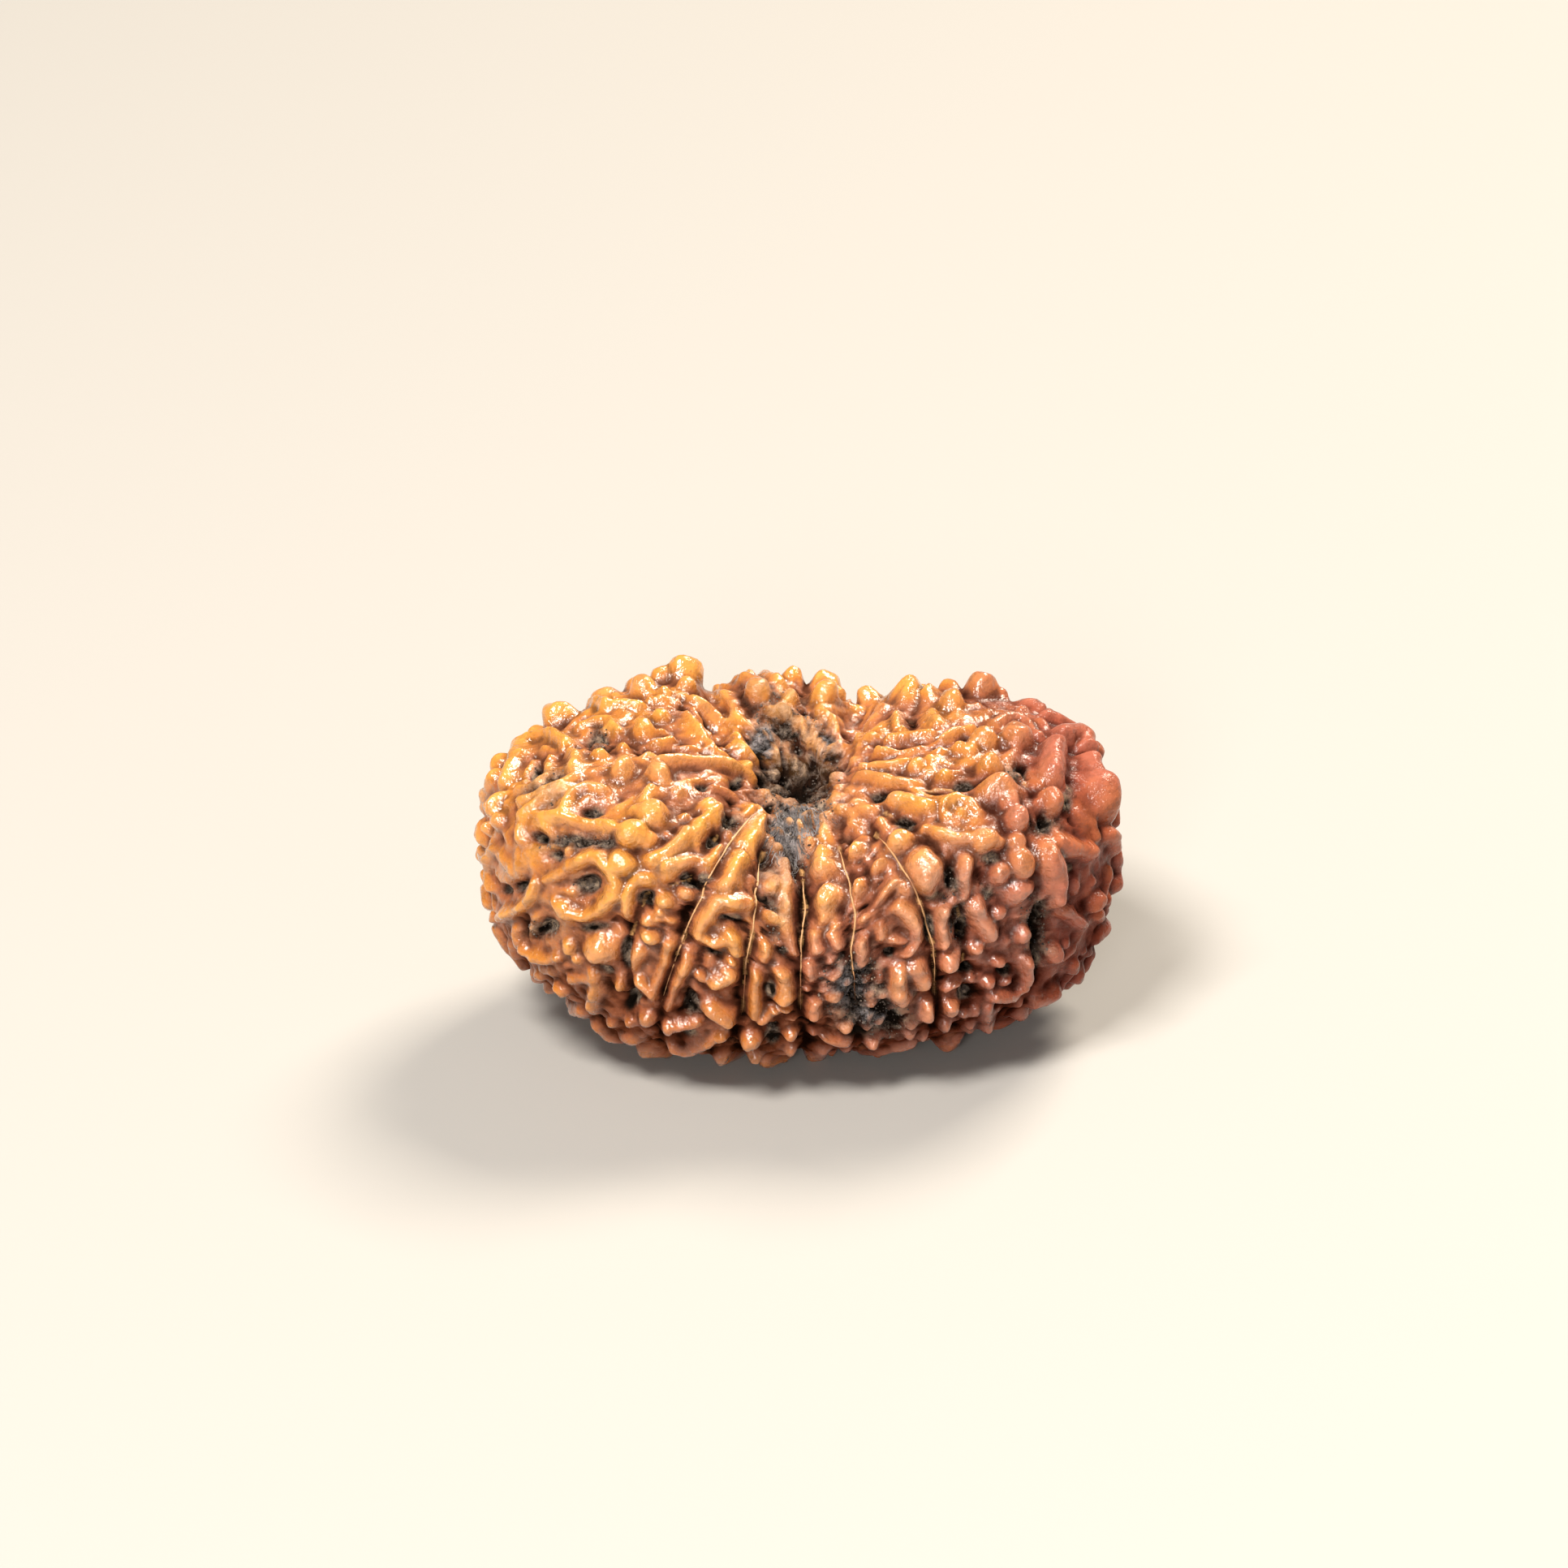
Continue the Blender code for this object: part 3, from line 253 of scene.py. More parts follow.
RIGHT_END = (
    (15, (1300, 918), (1300, 950)), (14, (1312, 906), (1332, 905), (1345, 925), (1346, 945)),
    (14, (1298, 985)), (12, (1257, 1037)), (17, (1262, 1062)), (19, (1261, 1096)), (12, (1239, 1077)),
    (19, (1293, 1055), (1300, 1080), (1300, 1103)), (13, (1303, 1038), (1325, 1044), (1348, 1050)),
    (11, (1371, 1027), (1381, 1046)), (25, (1361, 976)), (14, (1356, 1113)), (7, (1353, 1086)),
    (10, (1314, 1125), (1338, 1143)), (13, (1266, 1156)), (11, (1235, 1127)), (5, (1248, 1165)),
    (13, (1305, 1177)), (11, (1330, 1195)), (8, (1322, 1165)), (9, (1235, 1188)),
    (9, (1267, 1187), (1272, 1213)),
    (8, (1224, 1213)), (7, (1245, 1215)), (9, (1230, 1232), (1255, 1232), (1270, 1222)),
    (6, (1170, 1226), (1181, 1219), (1197, 1215)), (12, (1175, 1246)), (12, (1200, 1254)),
    (9, (1221, 1250), (1220, 1275)), (10, (1164, 1274)), (11, (1272, 1240), (1290, 1234), (1302, 1227)),
    (11, (1266, 1260)),
)

PIT_LUMPS = (
    (7, (960, 912)), (6, (947, 907)), (7, (930, 887)), (5, (974, 920)), (6, (997, 912)), (9, (1010, 926)),
    (7, (1022, 923)), (7, (952, 934)), (6, (935, 951)), (7, (958, 951)), (6, (974, 940)), (7, (991, 943)),
    (6, (1016, 945)), (6, (1030, 951)), (5, (1008, 962)), (6, (947, 968)), (6, (980, 990)), (5, (991, 984)),
    (6, (974, 1007)), (6, (963, 1018)), (7, (985, 1012)), (7, (997, 1001)), (6, (980, 1026)),
    (6, (963, 1040)), (6, (997, 1029)), (5, (952, 1026)),
)

# Hollows between the ridges as seen: place, half width and half height, in photograph pixels
HOLLOWS = (
    (653, 942, 10, 15), (735, 897, 9, 8), (728, 989, 14, 9), (655, 1027, 12, 9), (700, 1032, 26, 9),
    (742, 1034, 20, 8), (680, 1052, 16, 9), (610, 1100, 7, 7), (630, 1098, 11, 8), (665, 1150, 15, 11),
    (727, 1147, 18, 6), (768, 1180, 7, 18), (745, 1200, 12, 6), (715, 1092, 18, 14), (793, 1110, 13, 11),
    (845, 1075, 9, 7), (872, 1077, 9, 7), (852, 1088, 13, 8), (885, 1028, 8, 7), (908, 1000, 11, 11),
    (905, 1131, 16, 5), (885, 1177, 15, 7), (855, 1245, 14, 13), (848, 1286, 11, 6), (893, 1275, 7, 6),
    (952, 1224, 7, 10), (953, 1286, 9, 14), (968, 1172, 6, 7), (1050, 1240, 7, 14), (1100, 1180, 7, 6),
    (1070, 1203, 9, 4), (1105, 1265, 14, 16), (1127, 1228, 6, 6), (1110, 1003, 12, 9), (1080, 969, 15, 7),
    (870, 957, 9, 4), (917, 952, 8, 6), (1187, 905, 6, 5), (1255, 940, 13, 11), (1188, 955, 12, 7),
    (1325, 978, 8, 19), (1297, 1012, 16, 11), (1225, 1056, 11, 9), (1172, 1087, 8, 13), (1222, 1102, 9, 10),
    (1192, 1152, 8, 13), (1285, 1135, 12, 20), (1325, 1073, 7, 7), (1150, 1150, 6, 15), (1287, 1195, 8, 18),
    (1195, 1203, 12, 5), (1195, 1236, 12, 6), (1247, 1203, 8, 7), (1150, 1100, 11, 12), (775, 1240, 9, 11),
)
HOLLOW_DEPTH = 0.6

# Patches where grey residue lies, also on the crests: place, half width and half height, in pixels
DUSTY = (
    (985, 950, 44, 30), (985, 985, 46, 28), (975, 1035, 24, 46), (1052, 1225, 42, 48), (1090, 1262, 40, 26),
    (700, 1032, 60, 14), (668, 960, 30, 28), (735, 897, 14, 14), (908, 1000, 16, 16), (660, 1150, 22, 14),
    (1255, 940, 16, 14), (1297, 1010, 22, 16), (965, 1115, 14, 60), (1285, 1150, 20, 50),
    (1180, 1120, 16, 50),
)

# Patches of ashen fibrous residue: place, half width and half height, in pixels
ASHY = (
    (973, 1022, 18, 44), (985, 992, 26, 14), (1050, 1222, 26, 34), (1080, 1258, 26, 20), (945, 915, 16, 26),
    (1016, 922, 16, 22),
)

# Crevices, sunk a little and painted black as shade: place, half width and half height, in pixels
CREVICES = (
    (983, 985, 20, 6), (1019, 965, 13, 6), (948, 958, 8, 13), (956, 985, 5, 9), (968, 1003, 4, 8),
    (1287, 1150, 8, 34), (1257, 940, 7, 7), (1172, 1089, 6, 9), (1192, 1154, 6, 10), (1105, 1268, 9, 10),
    (1196, 1204, 9, 4), (853, 1247, 8, 7), (1085, 1245, 18, 12), (1060, 1282, 20, 8), (953, 1290, 7, 9),
    (953, 1222, 5, 9), (648, 1155, 12, 8), (655, 1028, 8, 6), (727, 1148, 10, 3), (1297, 1010, 10, 6),
    (905, 1003, 6, 6), (880, 1178, 10, 4), (768, 1250, 8, 7), (1243, 1203, 6, 6), (952, 1105, 3, 20),
)

# Fine surface
GRID_SUBDIVISIONS = 8
# The CAD's own grid: the seeded ridges come out where the CAD has them only if it stays the same
PICKING_SUBDIVISIONS = 7
TRIANGLE_LIMIT = 190000
WARP = 0.07
WIDTH_VARIATION = 0.08
RIDGE_ROOT = 0.08
RIDGE_FILLET = 0.22
SEAM_CLEARING = 0.85
SEAM_CLEARING_HALF_WIDTH = 0.2
SUTURE_CREST = 0.36
SUTURE_CREST_HALF_WIDTH = 0.11
CREVICE_DEPTH = 0.25
FLOOR_GRAIN = 0.10
FINE_GRAIN = 0.035
LUMP = 0.06
STREAK = 0.06
PIT_CRAG = 0.22
# Share of the fine grain outside the pit and the dust, and of the pit's crags in the dust
CLEAN_GRAIN = 0.4
DUST_CRAG = 0.5
# Grain fields: size of the features and seed
WARP_FIELDS = ((0.5, 11), (0.5, 12), (0.5, 13))
WIDTH_FIELD = (0.6, 14)
FLOOR_FIELD = (0.35, 1)
FINE_FIELD = (0.12, 2)
STREAK_FIELD = (0.6, 3)
LUMP_FIELD = (0.25, 4)
CRAG_FIELD = (0.2, 5)
GRAIN_WAVES = 14
GRAIN_SCALE = 4.0
STREAKS_AROUND = 18.0
STREAK_RUN = 0.35
STREAK_ZONE = (8.5, 11.5)
# What the finish is painted by: rounds of averaging and span of heights, and other limits
CREST_REACH = (60, 0.9)
FOLD_REACH = (12, 0.3)
HEIGHT_RANGE = (-0.5, 1.0)
BARE_SEAM_HEIGHT = 0.4
# Half width of the painted black shade around the bore
BORE_SHADE_HALF_WIDTH = 0.8
SEED = 15
SEEN_FACING = 0.08
SEEN_FILL_HALF_WIDTH = 0.4
# Rounds of seeded ridges: tries, half widths, longest run in steps and gap to the others
HIDDEN_ROUNDS = (
    (1800, (0.30, 0.46), 5, 0.15),
    (1500, (0.42, 0.66), 0, 0.10),
    (2500, (0.22, 0.34), 3, 0.12),
    (2200, (0.11, 0.18), 3, 0.10),
)

# Suture strands, fibres and grains: half widths, lengths and heights over the stone
LANDING_STEP = 0.05
LANDING_REACH = 3.0
# Directions crossed with a normal's or a tube's own, to find one across it
LANDING_ASIDE = (0.36, 0.48, 0.8)
TUBE_ASIDE = (0.37, 0.21, 0.9)
STRANDS = 5
STRAND_SIDES = 5
STRAND_HALF_WIDTH = 0.045
LEAST_STRAND = 0.012
STRAND_VARIATION = (0.8, 1.2)
STRAND_TAPER = 8
STRAND_TIP = 0.1
STRAND_FLOOR = 4.5
STRAND_HEIGHT_ZONE = (4.5, 8.0)
STRAND_FRONT_ZONE = (-2.0, -4.0)
FIBRE_COUNT = 170
FIBRE_PATCHES = 2
FIBRE_SIDES = 4
FIBRE_HALF_WIDTH = (0.020, 0.042)
FIBRE_TIP = 0.006
FIBRE_STEPS = (5, 11)
FIBRE_STEP = 0.13
FIBRE_FAN = 0.15
FIBRE_SPREAD = 0.25
FIBRE_BEND = 0.07
FIBRE_LIFT = -0.015
FIBRE_CEILING = 0.3
GRAINS_PER_MM2 = (16.0, 3.0)
GRAIN_SIZE = (0.02, 0.07)
GRAIN_UNEVENNESS = (0.6, 1.25)
GRAIN_CEILING = 0.15

# Colours, as linear red, green and blue
# Near black at the lowest tone: the wood's dark valley floor with painted shade on it
VALLEY_SHADE = (0.018, 0.007, 0.004)
RUST = (0.17, 0.058, 0.030)
TAN = (0.33, 0.107, 0.038)
AMBER = (0.49, 0.170, 0.029)
BRIGHT_AMBER = (0.70, 0.30, 0.055)
ROSY_RUST = (0.11, 0.031, 0.018)
ROSY_BROWN = (0.26, 0.078, 0.040)
ROSY_TAN = (0.42, 0.137, 0.066)
BRIGHT_ROSY = (0.58, 0.235, 0.120)
FADED_ROSE = (0.42, 0.20, 0.12)
# Multiplied in at the right end: a redder tint of the wood, and painted shade away from the key light
END_TINT_AND_SHADE = (0.66, 0.48, 0.56)
# Painted shade on the underside: darker and redder towards the bottom
UNDERSIDE_SHADE = (0.76, 0.60, 0.48)
ASH_GREY = (0.095, 0.085, 0.085)
PALE_ASH = (0.29, 0.255, 0.25)
# Near black: painted shade in the crevices, the bore and low residue, and the dark grains of grit
BLACK_SHADE_AND_GRIT = (0.010, 0.007, 0.005)
RESIDUE_BROWN = (0.060, 0.042, 0.031)
RESIDUE_GREY = (0.165, 0.128, 0.104)
RESIDUE_BEIGE = (0.36, 0.26, 0.18)
STRAND_BROWN = (0.24, 0.085, 0.032)
STRAND_BEIGE = (0.60, 0.33, 0.15)
SUTURE_BEIGE = (0.54, 0.29, 0.11)
FLOOR_COLOUR = (0.42, 0.405, 0.385)
WORLD_COLOUR = (1.0, 0.97, 0.92)

# Colour ramps: values and their colours
GOLDEN_WOOD = ((0.18, VALLEY_SHADE), (0.33, RUST), (0.46, TAN), (0.60, AMBER), (0.88, BRIGHT_AMBER))
ROSY_WOOD = ((0.18, VALLEY_SHADE), (0.33, ROSY_RUST), (0.46, ROSY_BROWN), (0.60, ROSY_TAN), (0.88, BRIGHT_ROSY))
RESIDUE = ((0.26, BLACK_SHADE_AND_GRIT), (0.38, RESIDUE_BROWN), (0.53, RESIDUE_GREY), (0.72, RESIDUE_BEIGE))
ASH = ((0.26, BLACK_SHADE_AND_GRIT), (0.45, ASH_GREY), (0.72, PALE_ASH))
GRIT = ((0.36, BLACK_SHADE_AND_GRIT), (0.47, RESIDUE_BROWN), (0.60, RESIDUE_GREY), (0.72, RESIDUE_BEIGE))
FIBRE = ((0.36, RESIDUE_BROWN), (0.50, ASH_GREY), (0.66, PALE_ASH))
DRY_WOOD = ((0.30, STRAND_BROWN), (0.50, STRAND_BEIGE))

# Noise of the finish: features per metre, detail and roughness
TONE_NOISE = (700.0, 4.0, 0.55)
ROSY_NOISE = (230.0, 3.0, 0.55)
MOTTLE_NOISE = (850.0, 6.0, 0.7)
WRINKLE_NOISE = (2100.0, 4.0, 0.6)
SPECKLE_NOISE = (2400.0, 5.0, 0.7)
CRAG_NOISE = (1700.0, 6.0, 0.68)
COVER_NOISE = (900.0, 4.0, 0.55)
LUMP_NOISE = (1500.0, 3.0, 0.55)
FINE_LUMP_NOISE = (4200.0, 3.0, 0.55)
GRIT_NOISE = (1500.0, 4.0, 0.55)

# Shares of the fields in the wood's tone, in the residue's tone and in the bumps; the residue's share of the
# wood's tone and its darkening in the pit are painted shade
CREST_TONE = 0.6
HEIGHT_TONE = 0.4
SPECKLE_SHADE = 0.15
TONE_SHADE = 0.35
CRAG_SHADE = 0.5
PIT_DARKENING = 0.10
FINE_LUMP_BUMP = 0.45
CRAG_BUMP = 2.0
WRINKLE_BUMP = 0.35
BUMP_STRENGTH = 0.75
BUMP_HEIGHT = 0.14

# Ranges of the finish: start and end, then the values there where they aren't 0 and 1
TONE_SPREAD = (0.3, 0.7, -0.09, 0.09)
STREAK_SPREAD = (-1.0, 1.0, -0.10, 0.10)
ROSY_PATCHES = (0.35, 0.65, -0.4, 0.4)
FADING = (0.56, 0.72, 0.0, 0.45)
MOTTLING = (0.34, 0.46, 0.84, 1.0)
# The next two ranges also darken the wood's colour: painted shade in the wrinkles and in the folds
WRINKLES = (0.36, 0.52, 0.76, 1.0)
FOLD_SHADE = (0.20, 0.46, 0.50, 1.0)
CRAGS = (0.39, 0.60)
PIT_SHADE = (0.3, 0.7)
PATCH = (0.2, 0.7)
ASH_LOW = (0.74, 0.52, 0.4, 1.0)
HOLLOW_LOW = (0.55, 0.30)
COVER = (0.38, 0.6, 0.15, 1.0)
DUST_PATCH = (0.15, 0.75)
DUST_LOW = (0.75, 0.45, 0.5, 1.0)
PIT_FILL = (0.35, 0.65, 0.0, 0.9)
PALE_LINE = (0.3, 0.8, 0.0, 0.75)
CREVICE_LOW = (0.62, 0.42)
GLOSS = (0.3, 0.65, 0.55, 0.24)
POLISH = (0.34, 0.58)
# The same for ranges along the bead's axes, whose start and end are in millimetres
# Painted light: the wood's tone raised towards the top, where the light falls
PAINTED_TOP_LIGHT = (3.0, 11.0, -0.06, 0.16)
ROSY_SIDE = (-7.0, 4.0)
ROSY_FRONT = (13.5, 9.5)
# Right end, redder and darkened by painted shade
REDDER_SHADED_END = (5.0, 11.0)
# Underside, where the painted shade is multiplied in
LOWER_PART = (8.0, 2.0)
# Painted light: the residue in the hollows lighter towards the top
PAINTED_HOLLOW_TOP_LIGHT = (4.0, 9.0, 0.0, 0.17)
LINE_FRONT = (-2.0, -4.0)
LINE_HEIGHT = (4.5, 7.0)
DULL_END = (7.0, 12.0, 1.0, 0.2)
DRY_HEIGHT = (4.0, 8.0, -0.25, 0.05)
DRY_FRONT = (-5.0, -2.0, 0.0, 0.2)

# Light and camera. A light has a name, a place and size in metres, a power and a colour
WORLD_STRENGTH = 0.12
LIGHTS = (
    ("key", (-0.15, -0.17, 0.38), 0.12, 2.8, (1.0, 0.95, 0.88)),
    ("fill", (0.30, -0.34, 0.22), 0.30, 0.12, (1.0, 1.0, 1.0)),
    ("front", (-0.09, -0.38, 0.17), 0.08, 0.7, (1.0, 0.96, 0.92)),
    ("back", (0.20, 0.22, 0.34), 0.16, 2.7, (1.0, 0.90, 0.76)),
)
FLOOR_SIZE = 4.0
FLOOR_DROP = 0.02
PHOTO_SIZE = 1932
SENSOR_WIDTH = 36.0
NEAREST_SEEN = 0.01


def smooth_step(value, start, end):
    t = np.clip((value - start) / (end - start), 0.0, 1.0)
    return t * t * (3 - 2 * t)


def bell(value, half_width):
    return np.exp(-(value / half_width) ** 2)


def form_norm(offset):
    """Superellipsoid norm of offsets from the bead's middle: 1 on the smooth form."""
    up = offset[:, 2] >= 0
    height = np.where(up, TOP_HEIGHT - WAIST_HEIGHT, WAIST_HEIGHT - UNDERSIDE_HEIGHT)
    power = np.where(up, UPPER_SQUARENESS, LOWER_SQUARENESS)
    plan = (np.abs(offset[:, 0] / HALF_LENGTH) ** PLAN_SQUARENESS
            + np.abs(offset[:, 1] / HALF_DEPTH) ** PLAN_SQUARENESS) ** (1 / PLAN_SQUARENESS)
    return (plan ** power + np.abs(offset[:, 2] / height) ** power) ** (1 / power)


def on_form(offset):
    """Points of the smooth form in the directions of the given offsets from its middle."""
    return offset / form_norm(offset)[:, None] + [0.0, 0.0, WAIST_HEIGHT]


def form_normals(points):
    """Outward unit normals of the smooth form, from the slope of its norm."""
    offset = points - [0.0, 0.0, WAIST_HEIGHT]
    steps = SLOPE_STEP * np.eye(3)
    slope = [form_norm(offset + step) - form_norm(offset - step) for step in steps]
    slope = np.stack(slope, axis=1)
    return slope / np.linalg.norm(slope, axis=1)[:, None]


def outward_normals(surface, triangles):
    """Outward unit normal at each point of a triangle mesh."""
    first, second, third = (surface[triangles[:, corner]] for corner in range(3))
    slopes = np.cross(second - first, third - first)
    total = np.zeros_like(surface)
    for corners in triangles.T:
        for axis in range(3):
            total[:, axis] += np.bincount(corners, slopes[:, axis], len(surface))
    return total / np.linalg.norm(total, axis=1)[:, None]


def sunk_form(points):
    """Points of the smooth form once its pits, valley and notches are sunk and its ends tucked in."""
    x, y, z = points.T
    pit = np.exp(-np.hypot(x / PIT_HALF_SIZE[0], y / PIT_HALF_SIZE[1]) ** PIT_STEEPNESS)
    valley = VALLEY_DEPTH * bell(x - VALLEY_OFFSET, VALLEY_HALF_WIDTH) * smooth_step(y, *VALLEY_ZONE)
    notches = sum(bell(x - offset, NOTCH_HALF_WIDTH) for offset in NOTCH_OFFSETS)
    drop = np.cbrt((PIT_DEPTH * pit) ** 3 + valley ** 3)
    drop += SADDLE_DEPTH * bell(x, SADDLE_HALF_WIDTH) + NOTCH_DEPTH * notches * smooth_step(y, *NOTCH_ZONE)
    drop += FRONT_FALL * bell(x, FRONT_FALL_HALF_WIDTH) * smooth_step(y, *FRONT_FALL_ZONE)
    swell = sum(height * bell(x - place, half_width) for place, half_width, height in BACK_SWELLS)
    drop -= swell * smooth_step(y, *BACK_ZONE)
    tuck = LEFT_TUCK * smooth_step(-x, *END_TUCK_ZONE) + RIGHT_TUCK * smooth_step(x, *END_TUCK_ZONE)
    tuck *= bell(z - END_TUCK_HEIGHT, END_TUCK_HALF_HEIGHT)
    moved = points - form_normals(points) * tuck[:, None]
    moved[:, 2] -= drop * smooth_step(z, *TOP_ZONE)
    moved[:, 2] += LOWER_PIT_DEPTH * pit * smooth_step(z, *LOWER_ZONE)
    return moved


def viewpoint():
    """Eye of the photograph, and its unit vectors to the right, up and into the picture."""
    flat = math.cos(VIEW_ELEVATION)
    back = Vector((math.sin(VIEW_AZIMUTH) * flat, -math.cos(VIEW_AZIMUTH) * flat, math.sin(VIEW_ELEVATION)))
    right = Vector((math.cos(VIEW_AZIMUTH), math.sin(VIEW_AZIMUTH), 0.0))
    return Vector(VIEW_TARGET) + back * VIEW_DISTANCE, right, back.cross(right), -back


class Picker:
    """Finds the point of the smooth form that lies behind a pixel of the photograph."""

    def __init__(self, form, sunk, triangles):
        self.form = [Vector(point) for point in form]
        self.sunk = [Vector(point) for point in sunk]
        self.triangles = triangles
        self.tree = BVHTree.FromPolygons(self.sunk, triangles)
        self.eye, self.right, self.up, self.ahead = viewpoint()

    def point(self, pixel):
        """Point behind the pixel, or behind the nearest one towards the middle that meets the bead."""
        for step in range(PULL_STEPS):
            pull = (1 - PULL * step) * PIXEL
            across = (pixel[0] - TARGET_PIXEL[0]) * pull
            down = (pixel[1] - TARGET_PIXEL[1]) * pull
            sight = self.ahead * VIEW_DISTANCE + self.right * across - self.up * down
            place, _, index, _ = self.tree.ray_cast(self.eye, sight.normalized())
            if place is not None:
                break
        corners = self.triangles[index]
        seen = [self.sunk[corner] for corner in corners]
        smooth = [self.form[corner] for corner in corners]
        return np.array(barycentric_transform(place, *seen, *smooth))

    def line(self, pixels):
        return np.array([self.point(pixel) for pixel in pixels])


def facing(points):
    """How far each point of the smooth form faces the eye: 1 straight at it, 0 edge on."""
    to_eye = np.array(viewpoint()[0]) - points
    return (form_normals(points) * to_eye).sum(axis=1) / np.linalg.norm(to_eye, axis=1)


def meridian(start):
    """Line on the smooth form from a point down to the lower pit, at the point's own bearing."""
    half_height = WAIST_HEIGHT - UNDERSIDE_HEIGHT
    x, y, z = start[0] / HALF_LENGTH, start[1] / HALF_DEPTH, (start[2] - WAIST_HEIGHT) / half_height
    bearing = math.atan2(y, x)
    slope = np.linspace(math.atan2(z, math.hypot(x, y)), LOWEST_SLOPE, MERIDIAN_STEPS)[1:]
    offset = np.stack([HALF_LENGTH * np.cos(slope) * math.cos(bearing),
                       HALF_DEPTH * np.cos(slope) * math.sin(bearing), half_height * np.sin(slope)], axis=1)
    return on_form(offset)


def suture_lines(picker):
    """The fifteen sutures, followed to the lower pit on the hidden side."""
    lines = []
    for pixels in SUTURES:
        seen = picker.line(pixels)
        lines.append(fine_line(np.vstack([seen, meridian(seen[-1])]), SUTURE_SPACING))
    return lines


def fine_line(points, spacing):
    """The same line with points at most a spacing apart."""
    pieces = [points[:1]]
    for start, end in zip(points[:-1], points[1:]):
        count = max(1, math.ceil(np.linalg.norm(end - start) / spacing))
        pieces.append(start + (end - start) * np.linspace(0, 1, count + 1)[1:, None])
    return np.vstack(pieces)


def underside_point(x, y):
    plan = (abs(x / HALF_LENGTH) ** PLAN_SQUARENESS + abs(y / HALF_DEPTH) ** PLAN_SQUARENESS)
    drop = (1 - plan ** (LOWER_SQUARENESS / PLAN_SQUARENESS)) ** (1 / LOWER_SQUARENESS)
    return np.array([[x, y, WAIST_HEIGHT - (WAIST_HEIGHT - UNDERSIDE_HEIGHT) * drop]])


def seen_ridges(picker):
    """Half width and crest line of every ridge and knob placed from the photograph.

    The top is seen at a slant, so what lies there is wider than it looks.
    """
    ridges = [(KNOB_SHAPE, REST_KNOB_HALF_WIDTH, underside_point(x, y)) for x, y in REST_KNOBS]
    lobes = LEFT_END + LEFT_LOBE + FRONT_LOBES + BACK_LOBE + RIGHT_LOBE + RIGHT_END + PIT_LUMPS
    for half_width, *pixels in lobes:
        line = picker.line(pixels)
        upward = max(0.0, form_normals(line)[:, 2].mean())
        widening, shape = RIDGE_WIDENING, RIDGE_SHAPE
        if len(line) == 1:
            widening, shape = KNOB_WIDENING, KNOB_SHAPE
            if half_width > BROAD_KNOB:
                shape = BROAD_KNOB_SHAPE
        ridges.append((shape, half_width * PIXEL * (1 + widening * upward), line))
    return ridges


class Crowd:
    """The crests and hollows placed so far, to keep new crests clear of them and of the sutures."""

    def __init__(self, ridges, hollows, sutures):
        self.crests = np.empty((0, 3))
        self.widths = np.empty(0)
        self.sutures = np.vstack(sutures)
        for _, width, line in ridges:
            self.add(line, width)
        for middle, across, _ in hollows:
            self.add(middle[None], HOLLOW_CLEARING * np.linalg.norm(across))

    def has_room(self, point, width, gap):
        clear = np.linalg.norm(self.crests - point, axis=1) - self.widths
        if clear.min() < width + gap:
            return False
        return np.linalg.norm(self.sutures - point, axis=1).min() > width + SUTURE_GAP

    def add(self, line, width):
        crest = fine_line(line, CREST_SPACING)
        self.crests = np.vstack([self.crests, crest])
        self.widths = np.append(self.widths, np.full(len(crest), width))


def in_pit(point):
    return math.hypot(point[0] / PIT_HALF_SIZE[0], point[1] / PIT_HALF_SIZE[1]) < PIT_CLEARING


def winding_line(draw, start, steps):
    """A short crest line over the smooth form, mostly along the sutures on the narrow lobes."""
    normal = form_normals(start[None])[0]
    along = np.cross(np.cross(normal, [0.0, 0.0, 1.0]), normal)
    across = np.cross(normal, along)
    spread = LOBE_SPREAD if abs(start[0]) < LOBE_REACH else END_SPREAD
    turn = draw.gauss(0.0, spread)
    heading = along * math.cos(turn) + across * math.sin(turn)
    heading /= np.linalg.norm(heading) + TINY
    line = [start]
    for _ in range(steps):
        bend = draw.gauss(0.0, STEP_BEND)
        normal = form_normals(line[-1][None])[0]
        heading = heading * math.cos(bend) + np.cross(normal, heading) * math.sin(bend)
        step = line[-1] + STEP_LENGTH * heading
        line.append(on_form((step - [0.0, 0.0, WAIST_HEIGHT])[None])[0])
    return np.array(line)


def hidden_ridges(ridges, hollows, sutures):
    """Ridges and knobs of the same kind where the photograph gives none, drawn with a fixed seed."""
    draw = random.Random(SEED)
    crowd = Crowd(ridges, hollows, sutures)
    added = []
    for tries, widths, steps, gap in HIDDEN_ROUNDS:
        for _ in range(tries):
            direction = np.array([[draw.gauss(0.0, 1.0) for _ in range(3)]])
            start = on_form(direction * [HALF_LENGTH, HALF_DEPTH, WAIST_HEIGHT])
            width = draw.uniform(*widths)
            length = draw.randint(0, steps)
            if in_pit(start[0]) or widths[1] > SEEN_FILL_HALF_WIDTH and facing(start)[0] > SEEN_FACING:
                continue
            if not crowd.has_room(start[0], width, gap):
                continue
            line = winding_line(draw, start[0], length)
            kept = 1
            while kept < len(line) and crowd.has_room(line[kept], width, gap):
                kept += 1
            if kept > LEAST_RUN_SHARE * steps:
                crowd.add(line[:kept], width)
                added.append((SEEDED_SHAPE, width, line[:kept]))
    return added


def line_distance(points, line):
    """Distance of each point to a crest line."""
    if len(line) == 1:
        return np.linalg.norm(points - line[0], axis=1)
    nearest = np.full(len(points), np.inf)
    for start, end in zip(line[:-1], line[1:]):
        run = end - start
        share = np.clip((points - start) @ run / (run @ run), 0, 1)
        nearest = np.minimum(nearest, np.linalg.norm(points - start - share[:, None] * run, axis=1))
    return nearest


